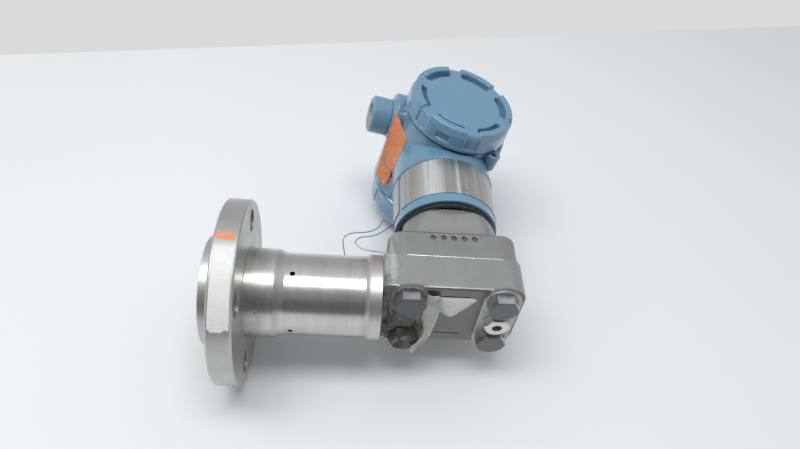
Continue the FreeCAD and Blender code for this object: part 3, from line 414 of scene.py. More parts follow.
# Small parts with two clouded tones
plainLook = {
    "steelFoil": {"colour": (0.66, 0.66, 0.65), "second": (0.58, 0.58, 0.57), "rough": 0.25, "metallic": 1.0},
    "blackRubber": {"colour": (0.022, 0.022, 0.022), "second": (0.035, 0.034, 0.032), "rough": 0.62},
    "blackPlastic": {"colour": (0.03, 0.03, 0.032), "second": (0.045, 0.045, 0.045), "rough": 0.5},
    "brass": {"colour": (0.66, 0.50, 0.24), "second": (0.55, 0.41, 0.20), "rough": 0.3, "metallic": 1.0},
    "agedTape": {"colour": (0.50, 0.46, 0.39), "second": (0.36, 0.33, 0.27), "rough": 0.55, "scale": 130.0,
                 "depth": 0.0002},
    "stainedStem": {"colour": (0.10, 0.085, 0.065), "second": (0.20, 0.17, 0.13), "rough": 0.35, "metallic": 0.6},
    "wireSteel": {"colour": (0.30, 0.295, 0.28), "second": (0.42, 0.415, 0.40), "rough": 0.32, "metallic": 0.9},
    "paleFold": {"colour": (0.72, 0.72, 0.70), "second": (0.60, 0.59, 0.56), "rough": 0.5},
}


def plainFinish(name):
    look = {"metallic": 0.0, "scale": 260.0, "depth": 0.00004, **plainLook[name]}
    f = Finish(name)
    cloud = f.noise(look["scale"], 4.0)
    return f.set(BaseColor=f.mix(f.band(cloud, 0.35, 0.65), look["colour"], look["second"]),
                 Metallic=look["metallic"], Roughness=look["rough"] + (cloud - 0.5) * 0.15,
                 Normal=f.bump(f.noise(look["scale"] * 3.0), look["depth"], 0.0003))


boardLook = {"colour": (0.03, 0.14, 0.07), "track": (0.10, 0.26, 0.13), "scale": 330.0, "rough": 0.4}


def boardFinish():
    look = boardLook
    f = Finish("boardCoat")
    tracks = f.band(f.cells(look["scale"], 0.2), 0.30, 0.34) * 0.4
    colour = f.mix(tracks, look["colour"], look["track"])
    return f.set(BaseColor=colour, Metallic=0.0, Roughness=look["rough"] + f.noise(150.0) * 0.1,
                 Normal=f.bump(tracks, 0.00004, 0.0003))


finishes = {
    "flange_steel": flangeSteel(),
    "tube_steel": tubeSteel(),
    "foil_steel": plainFinish("steelFoil"),
    "cast_steel": castSteel("castBlock", steelLook["cast"]["colour"]),
    "module_steel": castSteel("castModule", steelLook["module"]["colour"]),
    "zinc_steel": zincSteel(),
    "bright_steel": brightSteel(),
    "blue_paint": bluePaint(),
    "plate_steel": bandSteel(),
    "black_rubber": plainFinish("blackRubber"),
    "black_plastic": plainFinish("blackPlastic"),
    "green_board": boardFinish(),
    "brass": plainFinish("brass"),
    "beige_tape": plainFinish("agedTape"),
}
slotOf = {entry["node"]: entry["material_slot"] for entry in frame["record"]["subparts"]}
stemFinish = plainFinish("stainedStem")
for name, piece in nodes.items():
    piece.data.materials.clear()
    piece.data.materials.append(stemFinish if name == "vent_valve_stem" else finishes[slotOf[name]])
print("finishes set:", len(finishes))


def placePiece(name, data, body):
    piece = bpy.data.objects.new(name, data)
    bpy.context.scene.collection.objects.link(piece)
    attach(piece, body)
    return piece


def addMesh(name, verts, faces, material, body):
    mesh = bpy.data.meshes.new(name)
    mesh.from_pydata([scaled(vert, mm) for vert in verts], [], faces)
    mesh.update()
    mesh.materials.append(material)
    mesh.polygons.foreach_set("use_smooth", [True] * len(mesh.polygons))
    return placePiece(name, mesh, body)


# A node's own mesh, recut, that takes the node's place
def addCasting(name, shape, materials, body, node):
    mesh = bpy.data.meshes.new(name)
    shape.to_mesh(mesh)
    shape.free()
    for material in materials:
        mesh.materials.append(material)
    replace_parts(placePiece(name, mesh, body), node)


def gridFaces(rows, columns):
    faces = []
    for row in range(rows - 1):
        for column in range(columns - 1):
            start = row * columns + column
            faces.append((start, start + 1, start + columns + 1, start + columns))
    return faces


def thicken(piece, thickness, offset=1.0):
    shell = piece.modifiers.new("thickness", "SOLIDIFY")
    shell.thickness = thickness * mm
    shell.offset = offset


# Tag wire: the same route as the solid's, in millimetres
wireLook = {
    "diameter": 0.8,
    "route": (
        (133.1, 49.5, -14.0), (125.4, 49.5, -14.0), (116.4, 52.5, -14.5), (108.6, 51.5, -13.0),
        (101.4, 53.2, -12.0), (97.7, 59.0, -12.0), (102.4, 64.2, -12.0), (109.9, 65.8, -13.0),
        (117.0, 70.6, -15.0), (123.7, 78.9, -18.0), (129.0, 87.0, -22.0), (131.4, 95.5, -26.0),
        (128.7, 102.5, -30.5), (121.4, 101.5, -32.0), (118.7, 88.5, -27.0), (110.9, 76.8, -20.0),
        (102.8, 71.9, -16.0), (94.8, 68.4, -13.0), (89.9, 64.2, -12.0), (88.7, 59.8, -14.0),
        (90.1, 56.5, -19.5), (91.7, 53.0, -27.0), (93.4, 46.5, -34.0), (94.4, 38.5, -38.5)),
    "length": 0.2004,
}


def tagWire():
    curve = bpy.data.curves.new("tagWire", "CURVE")
    curve.dimensions = "3D"
    curve.bevel_depth = wireLook["diameter"] * mm / 2
    curve.bevel_resolution = 3
    curve.resolution_u = 8
    curve.use_fill_caps = True
    spline = curve.splines.new("NURBS")
    route = wireLook["route"]
    spline.points.add(len(route) - 1)
    for point, spot in zip(spline.points, route):
        point.co = (*scaled(spot, mm), 1.0)
    spline.order_u = 3
    spline.use_endpoint_u = True
    curve.materials.append(plainFinish("wireSteel"))
    piece = placePiece("tagWire", curve, "base")
    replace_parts(piece, "tag_wire")


tagWire()
print("tag wire laid")

# Label and paint dash on the flange's rim: angles in degrees from +Y towards +Z
rimLook = {
    "radius": 63.5, "proud": 0.12,
    "label": {"angles": (100.0, 147.0), "span": (12.2, 25.2), "colour": (0.80, 0.81, 0.82),
              "smudge": (0.36, 0.35, 0.33), "scale": 120.0, "grid": (60, 14), "ragged": 1.4, "curl": 0.35,
              "bow": 0.25, "thick": 0.08},
    "dash": {"angles": (90.6, 95.4), "span": (11.8, 24.3), "colour": (0.78, 0.27, 0.12),
             "thin": (0.74, 0.40, 0.26), "tilt": 0.09, "corner": 5, "ragged": 0.05, "rings": 4, "steps": 72},
}


def paperFinish(name, look):
    scale = look["scale"]
    f = Finish(name)
    smear = f.band(f.noise(scale, 5.0, 0.65), 0.54, 0.74)
    specks = f.band(f.noise(scale * 5.0, 4.0, 0.7), 0.64, 0.70)
    colour = f.mix(smear * 0.35 + specks * 0.3, look["colour"], look["smudge"])
    creases = f.noise(scale * 1.6, 3.0, vector=f.stretched(0.4, 1.0, 1.0))
    return f.set(BaseColor=colour, Metallic=0.0, Roughness=0.42 + smear * 0.2,
                 Normal=f.bump(creases + f.noise(scale * 9.0) * 0.15, 0.00030))


def rimSpot(x, degrees, lift):
    angle = math.radians(degrees)
    radius = rimLook["radius"] + lift
    return x, math.cos(angle) * radius, math.sin(angle) * radius


def rimLabel():
    look = rimLook["label"]
    rows, columns = look["grid"]
    first, last = look["angles"]
    left, right = look["span"]
    rng = random.Random("rimLabel")
    frayed = [rng.uniform(-1.0, 1.0) for _ in range(columns)]
    verts = []
    for row in range(rows):
        share = row / (rows - 1)
        bow = look["bow"] * math.sin(share * 9.0)
        for column in range(columns):
            across = column / (columns - 1)
            ragged = frayed[column] * look["ragged"] * max(0.0, share - 0.9) * 10.0
            edge = min(across, 1.0 - across, share, 1.0 - share)
            curl = look["curl"] * max(0.0, share - 0.93) / 0.07 * abs(frayed[column])
            verts.append(rimSpot(left + (right - left) * across + bow * (across - 0.5),
                                 first + (last - first) * share + ragged,
                                 rimLook["proud"] * min(1.0, edge * 12.0 + 0.3) + curl))
    material = paperFinish("whiteLabel", look)
    thicken(addMesh("rimLabel", verts, gridFaces(rows, columns), material, "base"), look["thick"])


def paintDash():
    look = rimLook["dash"]
    rings, steps = look["rings"], look["steps"]
    first, last = look["angles"]
    left, right = look["span"]
    halfTurn, halfSpan = (last - first) / 2, (right - left) / 2
    middleTurn, middleX = (first + last) / 2, (left + right) / 2
    verts = [rimSpot(middleX, middleTurn, rimLook["proud"])]
    for ring in range(rings):
        share = (ring + 1) / rings
        for step in range(steps):
            turn = step / steps * math.tau
            x, y = math.cos(turn), math.sin(turn)
            swell = (abs(x) ** look["corner"] + abs(y) ** look["corner"]) ** (-1.0 / look["corner"])
            ragged = 1.0 + look["ragged"] * noise.noise(Vector((x * 3.0, y * 3.0, 0.5)))
            across, around = x * swell * share, y * swell * share
            verts.append(rimSpot(middleX + halfSpan * across * ragged,
                                 middleTurn + look["tilt"] * halfSpan * across + halfTurn * around * ragged,
                                 rimLook["proud"] * (1.0 - 0.8 * share ** 4)))
    faces = [(0, (step + 1) % steps + 1, step + 1) for step in range(steps)]
    for ring in range(rings - 1):
        for step in range(steps):
            here, after = ring * steps + step + 1, ring * steps + (step + 1) % steps + 1
            faces.append((here, after, after + steps, here + steps))
    f = Finish("orangeDash")
    thin = f.band(f.noise(260.0, 4.0, 0.6), 0.45, 0.66)
    material = f.set(BaseColor=f.mix(thin * 0.7, look["colour"], look["thin"]), Roughness=0.5 + thin * 0.2,
                     Normal=f.bump(f.noise(700.0, 3.0), 0.00008))
    addMesh("paintDash", verts, faces, material, "base")


rimLabel()
paintDash()
print("rim label and dash placed")

# Orange label on the housing's cheek: its corners in the picture, cast from the camera onto the casting
cheekLook = {
    "corners": ((396.5, 111.0), (407.0, 140.0), (384.5, 187.5), (375.5, 173.0)), "grid": (46, 16),
    "proud": 0.25, "thick": 0.1, "passes": 120, "wave": 0.16, "wander": (0.9, 0.7),
    "colour": (0.76, 0.245, 0.105), "smudge": (0.60, 0.215, 0.11), "fold": (0.84, 0.38, 0.21),
    "rubbed": (0.20, 0.12, 0.085), "speck": (0.10, 0.07, 0.05),
}
cameraLook = {"imageWidth": 800.0, "sensor": 36.0, "focal": 625.34, "middle": (400.0, 224.5),
              "place": (0.09157, -0.24902, 0.36481), "right": (0.99491, -0.0127, 0.09992),
              "down": (0.05588, -0.7557, -0.65214), "ahead": (0.08383, 0.65441, -0.75115)}


def pixelRay(across, down):
    right, below, ahead = (Vector(cameraLook[key]) for key in ("right", "down", "ahead"))
    middleX, middleY = cameraLook["middle"]
    focal = cameraLook["focal"]
    way = ahead + right * ((across - middleX) / focal) + below * ((down - middleY) / focal)
    return Vector(cameraLook["place"]), way.normalized()


def nodeTree(name):
    mesh = nodes[name].data
    return BVHTree.FromPolygons([vert.co for vert in mesh.vertices], [face.vertices[:] for face in mesh.polygons])


def cheekLabel():
    look = cheekLook
    rows, columns = look["grid"]
    wanderX, wanderY = look["wander"]
    tree = nodeTree("housing")
    first, second, third, fourth = (Vector(corner) for corner in look["corners"])
    rays = []
    depths = []
    for row in range(rows):
        share = row / (rows - 1)
        for column in range(columns):
            spot = first.lerp(fourth, share).lerp(second.lerp(third, share), column / (columns - 1))
            wave = Vector((spot.x * look["wave"], spot.y * look["wave"], 0.0))
            start, way = pixelRay(spot.x + wanderX * noise.noise(wave), spot.y + wanderY * noise.noise(wave * 1.3))
            rays.append((start, way))
            depths.append(tree.ray_cast(start, way, 1.0)[3])
    known = [depth for depth in depths if depth is not None]
    depths = [max(known) if depth is None else depth for depth in depths]
    for _ in range(look["passes"]):  # stretches the label over hollows
        smooth = list(depths)
        for row in range(rows):
            for column in range(columns):
                here = row * columns + column
                beside = ((row - 1, column), (row + 1, column), (row, column - 1), (row, column + 1))
                around = [depths[r * columns + c] for r, c in beside if 0 <= r < rows and 0 <= c < columns]
                smooth[here] = min(depths[here], sum(around) / len(around))
        depths = smooth
    verts = [(start + way * (depth - look["proud"] * mm)) / mm for (start, way), depth in zip(rays, depths)]
    f = Finish("orangeLabel")
    fade = f.band(f.noise(70.0, 4.0), 0.35, 0.7)
    specks = f.band(f.noise(420.0, 4.0, 0.7), 0.63, 0.69)
    crease = 1.0 - f.band((f.noise(45.0, 2.0) - 0.5).size(), 0.004, 0.020)
    colour = f.mix(fade * 0.6, look["colour"], look["smudge"])
    colour = f.mix(crease * 0.3, colour, look["fold"])
    rubbed = f.band(f.noise(95.0, 5.0, 0.7), 0.50, 0.66) * f.between(f.axis("Z"), -0.012, 0.020, 0.010)
    colour = f.mix(rubbed * 0.35, colour, look["rubbed"])
    colour = f.mix(specks * 0.6, colour, look["speck"])
    material = f.set(BaseColor=colour, Roughness=0.45 + fade * 0.15,
                     Normal=f.bump(crease * 0.7 + f.noise(160.0, 3.0), 0.00035))
    piece = addMesh("cheekLabel", verts, gridFaces(rows, columns), material, "housing")
    thicken(piece, look["thick"])


cheekLabel()
print("cheek label placed")

# Torn white label on the block's front face, as x and z on that face
tornLook = {
    "face": -12.8, "proud": 0.14, "lift": 0.10, "wave": 0.18, "thick": 0.08, "step": 0.9, "ragged": 0.22,
    "clean": 0.04, "raggedFrom": 9, "colour": (0.74, 0.75, 0.76), "smudge": (0.33, 0.31, 0.28), "scale": 150.0,
    "outline": ((156.0, 22.4), (167.5, 22.6), (178.2, 22.7), (180.6, 21.9), (181.2, 19.7), (175.2, 10.2),
                (169.2, 1.5), (167.3, -0.3), (164.5, -0.6), (162.0, 1.5), (160.1, 4.2), (157.4, 6.3),
                (157.9, 10.0), (156.6, 13.0), (157.3, 17.0)),
}


def tornLabel():
    look = tornLook
    shape = bmesh.new()
    rng = random.Random(7)
    edge = []
    count = len(look["outline"])
    for index, (x, z) in enumerate(look["outline"]):
        nextX, nextZ = look["outline"][(index + 1) % count]
        steps = max(2, int(math.hypot(nextX - x, nextZ - z) / look["step"]))
        torn = look["ragged"] if index >= look["raggedFrom"] else look["clean"]
        for step in range(steps):
            share = step / steps
            edge.append(shape.verts.new((x + (nextX - x) * share + rng.uniform(-torn, torn), look["face"],
                                         z + (nextZ - z) * share + rng.uniform(-torn, torn))))
    shape.faces.new(edge)
    bmesh.ops.triangulate(shape, faces=shape.faces[:])
    bmesh.ops.subdivide_edges(shape, edges=shape.edges[:], cuts=2, use_grid_fill=True)
    verts = []
    for vert in shape.verts:
        lift = look["proud"] + look["lift"] * (noise.noise(vert.co * look["wave"]) + 1.0)
        verts.append((vert.co.x, vert.co.y - lift, vert.co.z))
    shape.verts.index_update()
    faces = [[vert.index for vert in face.verts] for face in shape.faces]
    shape.free()
    piece = addMesh("tornLabel", verts, faces, paperFinish("tornPaper", look), "base")
    thicken(piece, look["thick"], 0.0)


tornLabel()
print("torn label placed")

# Folded tape: rows of depth, then left x and z, then right x and z
tapeLook = {
    "rows": ((-15.3, 146.9, 27.5, 155.9, 26.7), (-15.4, 146.8, 18.9, 156.9, 17.6),
             (-15.6, 145.9, 9.3, 157.4, 10.3), (-16.2, 145.8, 3.3, 156.6, 3.0),
             (-17.2, 146.9, -1.1, 155.8, -2.7), (-19.0, 148.2, -5.8, 154.5, -6.5),
             (-21.5, 148.6, -9.4, 152.8, -10.8), (-23.2, 147.4, -13.0, 150.9, -15.1),
             (-23.7, 144.5, -18.8, 147.9, -20.6), (-24.3, 141.2, -24.1, 145.0, -25.7),
             (-25.0, 139.9, -31.5, 142.3, -33.3)),
    "columns": 13, "between": 5, "fold": 0.75, "foldAt": 0.42, "flap": 0.9, "sway": 0.35, "ripple": 0.22,
    "paleRows": (0.22, 0.62), "thick": 0.18, "colour": (0.455, 0.43, 0.378), "thin": (0.57, 0.555, 0.512),
    "stain": (0.33, 0.25, 0.18), "stainAt": ((153.5, -15.5, 17.0), 8.0), "wrinkle": (0.62, 0.60, 0.56),
}


def tapeFinish():
    look = tapeLook
    f = Finish("foldedTape")
    cloud = f.band(f.noise(110.0, 4.0), 0.36, 0.66)
    stain = f.near(*look["stainAt"]) * f.band(f.noise(230.0, 4.0), 0.40, 0.60)
    wrinkle = 1.0 - f.band((f.noise(210.0, 3.0, vector=f.stretched(1.0, 1.0, 0.35)) - 0.5).size(), 0.0, 0.06)
    colour = f.mix(cloud, look["colour"], look["thin"])
    colour = f.mix(stain * 0.7, colour, look["stain"])
    colour = f.mix(wrinkle * 0.25, colour, look["wrinkle"])
    return f.set(BaseColor=colour, Metallic=0.0, Roughness=0.38 + cloud * 0.2,
                 Normal=f.bump(wrinkle + f.noise(500.0, 3.0) * 0.3, 0.00030))


def foldedTape():
    look = tapeLook
    rows = look["rows"]
    columns = look["columns"]
    verts = []
    count = 0
    for start, stop in zip(rows, rows[1:]):
        for step in range(look["between"]):
            share = step / look["between"]
            depth, leftX, leftZ, rightX, rightZ = (a + (b - a) * share for a, b in zip(start, stop))
            sway = look["sway"] * math.sin(count * 0.9)
            for column in range(columns):
                across = column / (columns - 1)
                ridge = look["fold"] * max(0.0, 1.0 - abs(across - look["foldAt"]) * 3.2)
                flap = look["flap"] * max(0.0, across - 0.8) / 0.2
                ripple = look["ripple"] * noise.noise(Vector((count * 0.31, column * 0.5, 2.0)))
                verts.append((leftX + (rightX - leftX) * across + sway * (across - 0.5),
                              depth - ridge - flap + ripple, leftZ + (rightZ - leftZ) * across))
            count += 1
    piece = addMesh("foldedTape", verts, gridFaces(count, columns), tapeFinish(), "base")
    piece.data.materials.append(plainFinish("paleFold"))
    firstPale, lastPale = (count * share for share in look["paleRows"])
    for index, face in enumerate(piece.data.polygons):
        row, column = divmod(index, columns - 1)
        face.material_index = 1 if column == columns - 2 and firstPale < row < lastPale else 0
    thicken(piece, look["thick"], 0.0)
    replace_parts(piece, "tape_strip")


foldedTape()
print("tape folded")

# Conduit mouth: thread and bare rim, in the adapter's own axis
threadLook = {
    "mouth": 66.3, "rise": 12.7, "height": 14.6, "bore": 8.8, "pitch": 1.814, "ridge": 0.85, "turns": 10,
    "steps": 56, "chamfer": 1.5, "rim": 2.6, "rimSteps": 72, "colour": (0.36, 0.33, 0.27),
    "pale": (0.52, 0.50, 0.45),
}


def conduitThread():
    look = threadLook
    turn = Matrix.Rotation(math.radians(housingTurn), 4, "Y")
    centre = Vector(housingCentre)
    verts = []
    faces = []

    def put(depth, radius, angle):
        spot = Vector((-look["mouth"] + depth, look["rise"] + radius * math.cos(angle),
                       look["height"] + radius * math.sin(angle)))
        verts.append(centre + turn @ spot)

    total = look["turns"] * look["steps"]
    for step in range(total + 1):
        angle = step / look["steps"] * math.tau
        depth = look["chamfer"] * 0.55 + step / look["steps"] * look["pitch"]
        grow = min(1.0, step / look["steps"] * 2.0, (total - step) / look["steps"] * 2.0)
        crest, root = look["bore"] - look["ridge"] * grow, look["bore"] + 0.05
        for share, radius in ((-0.46, root), (-0.10, crest), (0.10, crest), (0.46, root)):
            put(depth + look["pitch"] * share, radius, angle)
    for step in range(total):
        for column in range(3):
            start = step * 4 + column
            faces.append((start, start + 4, start + 5, start + 1))
    first = len(verts)
    count = look["rimSteps"]
    profile = ((look["chamfer"] + 0.1, look["bore"] - 0.04), (-0.06, look["bore"] + look["chamfer"] - 0.10),
               (-0.07, look["bore"] + look["chamfer"] + look["rim"]))
    for step in range(count):
        for depth, radius in profile:
            put(depth, radius + 0.05 * noise.noise(Vector((step * 0.4, depth, 0.0))), step / count * math.tau)
    for step in range(count):
        for column in range(2):
            here, after = (first + side % count * 3 + column for side in (step, step + 1))
            faces.append((here, after, after + 1, here + 1))
    f = Finish("bareThread")
    cloud = f.band(f.noise(240.0, 4.0), 0.35, 0.65)
    colour = f.mix(cloud, look["colour"], look["pale"])
    material = f.set(BaseColor=colour, Metallic=0.55, Roughness=0.38 + cloud * 0.15,
                     Normal=f.bump(f.noise(900.0, 3.0), 0.00006))
    addMesh("conduitThread", verts, faces, material, "housing")


conduitThread()
print("thread cut")

# Sensor module: the solid's own mesh with a finer neck, whose flats lean out and end in an arch under the seal; its
# dimples and the ring under the seal take a dark painted shade
moduleLook = {
    "axis": housingCentre[0], "cut": 37.2, "cutTops": (37.7, 57.45), "low": 35.4, "high": 57.35,
    "wide": (39.4, 35.6), "flat": (29.8, 32.0), "side": 34.4, "seat": 33.5, "steps": 160, "rows": 22, "keen": 60.0,
    "dimples": {"height": 31.8, "half": 2.4, "span": 17.5, "depths": (29.0, 31.15)},
    # dark: tone painted as shade in the dimples and on the ring under the seal
    "dark": (0.085, 0.088, 0.088),
}


def sensorModule():
    look = moduleLook
    shape = bmesh.new()
    shape.from_mesh(nodes["sensor_module"].data)
    firstTop, lastTop = look["cutTops"]
    gone = []
    for face in shape.faces:
        heights = [vert.co.y / mm for vert in face.verts]
        if min(heights) > look["cut"] and firstTop < max(heights) < lastTop:
            gone.append(face)
    bmesh.ops.delete(shape, geom=gone, context="FACES")
    dimples = look["dimples"]
    near, far = dimples["depths"]
    for face in shape.faces:
        spot = face.calc_center_median() / mm
        inside = abs(spot.y - dimples["height"]) < dimples["half"] and near < spot.z < far
        face.material_index = 1 if inside and abs(spot.x - look["axis"]) < dimples["span"] else 0
    rings = []
    for row in range(look["rows"] + 1):
        share = min(row, look["rows"] - 1) / (look["rows"] - 1)
        level = look["low"] + (look["high"] - look["low"]) * share
        wide = look["wide"][1] + (look["wide"][0] - look["wide"][1]) * math.sqrt(1.0 - share ** 2)
        flat = look["flat"][0] + (look["flat"][1] - look["flat"][0]) * share
        ring = []
        for step in range(look["steps"]):
            angle = step / look["steps"] * math.tau
            limits = (wide, flat / max(abs(math.cos(angle)), 0.01), look["side"] / max(abs(math.sin(angle)), 0.01))
            radius = sum(limit ** -look["keen"] for limit in limits) ** (-1.0 / look["keen"])
            if row == look["rows"]:
                radius = look["seat"]
            spot = (look["axis"] + radius * math.sin(angle), level, radius * math.cos(angle))
            ring.append(shape.verts.new(scaled(spot, mm)))
        rings.append(ring)
    for lower, upper in zip(rings, rings[1:]):
        for step in range(look["steps"]):
            after = (step + 1) % look["steps"]
            face = shape.faces.new((lower[step], lower[after], upper[after], upper[step]))
            face.smooth = upper is not rings[-1]
            face.material_index = 0 if face.smooth else 1
    # Dark material for the dimples and the ring under the seal: painted shade
    f = Finish("dimpleShade")
    grey = f.band(f.noise(600.0, 3.0), 0.35, 0.65)
    dark = f.set(BaseColor=f.mix(grey, look["dark"], scaled(look["dark"], 1.8)), Metallic=0.4,
                 Roughness=0.6 + grey * 0.1, Normal=f.bump(grey, 0.00008))
    addCasting("moduleCasting", shape, (finishes["module_steel"], dark), "base", "sensor_module")


sensorModule()
print("module cast")

# Screwed covers: six bevelled lugs on the rim, valleys that run down the wall, one key pocket.
# Outlines are radius and drop below the top, the rim is radius and height above the seam
coverLook = {
    "clock": 37.0, "seam": 40.2, "depth": {"front": 20.0, "rear": 24.5}, "steps": 540, "lugs": 6,
    "half": 5.3, "blend": 0.5, "radius": 43.4, "sunk": 42.1,
    "lug": ((0.0, 2.2), (12.0, 2.2), (24.0, 2.2), (29.5, 2.2), (31.0, 2.2), (31.3, 2.45), (31.45, 4.0),
            (31.6, 6.8), (32.1, 7.3), (35.4, 7.3), (35.9, 6.8), (36.1, 3.0), (36.25, 0.6), (36.5, 0.15),
            (36.9, 0.0), (40.8, 0.0), (41.4, 0.2), (41.9, 0.7), (42.9, 4.2), (43.25, 5.4), (43.4, 6.4)),
    "valley": ((0.0, 2.2), (12.0, 2.2), (24.0, 2.2), (29.5, 2.2), (31.0, 2.2), (31.8, 2.2), (32.4, 2.2),
               (33.0, 2.2), (33.6, 2.2), (34.4, 2.2), (35.2, 2.2), (36.0, 2.2), (36.8, 2.2), (37.6, 2.2),
               (38.6, 2.25), (40.2, 2.35), (41.2, 2.7), (41.7, 3.4), (42.0, 5.0), (42.1, 6.2), (42.1, 7.4)),
    "wall": (7.9, 8.1, 8.4, 9.6, 11.2, 12.6, 13.5, 13.8, 14.0, 14.4),
    "rim": ((43.45, 5.1), (43.65, 4.8), (43.7, 4.3), (43.7, 2.2), (43.1, 1.4), (41.6, 1.0), (41.2, 0.0),
            (37.7, 0.0)),
    "key": {"angle": -151.0, "half": 5.5, "soft": 0.25, "drops": (8.0, 13.7), "depth": 1.7},
    "stripped": {"drop": 5.9, "radius": 37.6, "height": -0.05},
}


def rise(value, low, high):
    share = min(1.0, max(0.0, (value - low) / (high - low)))
    return share * share * (3.0 - 2.0 * share)


def lugShare(radius, angle):
    wave = coverLook["lugs"] / 2
    half, blend = coverLook["half"], coverLook["blend"]
    return rise(abs(radius * math.sin(wave * angle) / wave), half - blend, half + blend)


def coverOutline(depth, angle):
    look = coverLook
    key = look["key"]
    off = angle - math.radians(key["angle"])
    spots = []
    for (high, drop), (low, sunk) in zip(look["lug"], look["valley"]):
        share = lugShare(high, angle)
        spots.append((low + (high - low) * share, depth - sunk + (sunk - drop) * share))
    wall = look["sunk"] + (look["radius"] - look["sunk"]) * lugShare(look["radius"], angle)
    first, last = key["drops"]
    for drop in look["wall"]:
        radius = wall
        if math.cos(off) > 0.0:
            inside = 1.0 - rise(abs(wall * math.sin(off)), key["half"] - key["soft"], key["half"] + key["soft"])
            inside *= rise(drop, first - 0.1, first + 0.3)
            inside *= 1.0 - rise(drop, last - 0.1, last + 0.3)
            radius -= key["depth"] * inside
        spots.append((radius, depth - drop))
    return spots + list(look["rim"])


def castCover(side):
    look = coverLook
    depth = look["depth"][side]
    turn = math.radians(housingTurn + (0.0 if side == "front" else 180.0))
    clock = math.radians(look["clock"])
    ahead = Vector((math.sin(turn), 0.0, math.cos(turn)))
    across = Vector((math.cos(turn), 0.0, -math.sin(turn)))
    first = across * math.cos(clock) + Vector((0.0, math.sin(clock), 0.0))
    second = ahead.cross(first)
    base = Vector(housingCentre) + ahead * look["seam"]
    stripped = look["stripped"]
    shape = bmesh.new()
    shape.from_mesh(nodes[side + "_cover"].data)
    gone = []
    for face in shape.faces:
        outer = True
        for vert in face.verts:
            spot = vert.co / mm - base
            height = spot.dot(ahead)
            radius = (spot - ahead * height).length
            beyond = radius > stripped["radius"] and height > stripped["height"]
            outer = outer and (height > depth - stripped["drop"] or beyond)
        if outer:
            gone.append(face)
    bmesh.ops.delete(shape, geom=gone, context="FACES")
    rows = []
    for step in range(look["steps"]):
        angle = step / look["steps"] * math.tau
        way = first * math.cos(angle) + second * math.sin(angle)
        row = [shape.verts.new((base + way * radius + ahead * height) * mm)
               for radius, height in coverOutline(depth, angle)[1:]]
        rows.append(row)
    middle = shape.verts.new((base + ahead * (depth - look["lug"][0][1])) * mm)
    for step, row in enumerate(rows):
        after = rows[(step + 1) % len(rows)]
        faces = [shape.faces.new((middle, row[0], after[0]))]
        for low in range(len(row) - 1):
            faces.append(shape.faces.new((row[low], row[low + 1], after[low + 1], after[low])))
        for face in faces:
            face.smooth = True
    node = side + "_cover"
    addCasting(side + "CoverCasting", shape, (finishes["blue_paint"],), node, node)


castCover("front")
castCover("rear")
print("covers cast")

# Pale bright bead along the flange casting's top edge: painted highlight
lipLook = {"span": (130.5, 204.5), "height": 14.15, "depth": 31.70, "radius": 0.62, "steps": 90, "ring": 15,
           "taper": 14.0, "leans": (-55.0, 200.0), "colour": (0.86, 0.87, 0.87)}


def brightLip():
    look = lipLook
    first, last = look["span"]
    firstLean, sweep = look["leans"]
    verts = []
    for step in range(look["steps"]):
        share = step / (look["steps"] - 1)
        thin = min(1.0, share * look["taper"], (1.0 - share) * look["taper"]) * (1.0 - 0.35 * share)
        size = look["radius"] * max(thin, 0.05)
        for part in range(look["ring"]):
            lean = math.radians(firstLean + sweep * part / (look["ring"] - 1))
            verts.append((first + (last - first) * share, look["height"] + size * math.sin(lean),
                          look["depth"] + size * math.cos(lean)))
    f = Finish("paintedEdgeHighlight")
    cloud = f.band(f.noise(160.0, 4.0), 0.35, 0.65)
    material = f.set(BaseColor=f.mix(cloud, look["colour"], scaled(look["colour"], 0.8)), Metallic=0.9,
                     Roughness=0.26 + cloud * 0.08)
    addMesh("brightLip", verts, gridFaces(look["steps"], look["ring"]), material, "base")


brightLip()
print("lip rubbed")

# Dried dirt: height fields on the left pad and on the low bolt's head, as x, z and reach of each heap
crustLook = {
    "pad": {"on": "coplanar_flange", "level": -15.0, "x": (120.5, 148.5), "z": (-35.0, 9.0), "grid": (70, 90),
            "height": 2.6, "bare": 0.34,
            "heaps": ((129.0, 0.0, 8.0), (126.0, -10.0, 8.0), (137.5, -7.5, 8.0), (124.5, -23.0, 6.5),
                      (145.5, -13.0, 5.0), (128.0, -31.5, 7.0), (140.5, -32.0, 5.0), (124.5, 5.5, 4.0))},
    "head": {"on": "flange_bolts", "level": -22.1, "x": (126.5, 145.5), "z": (-31.0, -12.5), "grid": (50, 50),
             "height": 1.3, "bare": 0.52,
             "heaps": ((130.5, -26.5, 6.0), (139.5, -27.0, 5.5), (136.0, -16.5, 4.5), (129.5, -19.0, 4.0))},
    "above": 6.0, "reach": 0.010, "sunk": 0.05,
    "colour": (0.155, 0.145, 0.122), "dry": (0.27, 0.26, 0.225), "wet": (0.040, 0.038, 0.034),
}


def grit(x, z, scale, layer):
    return noise.noise(Vector((x * scale, z * scale, layer)))


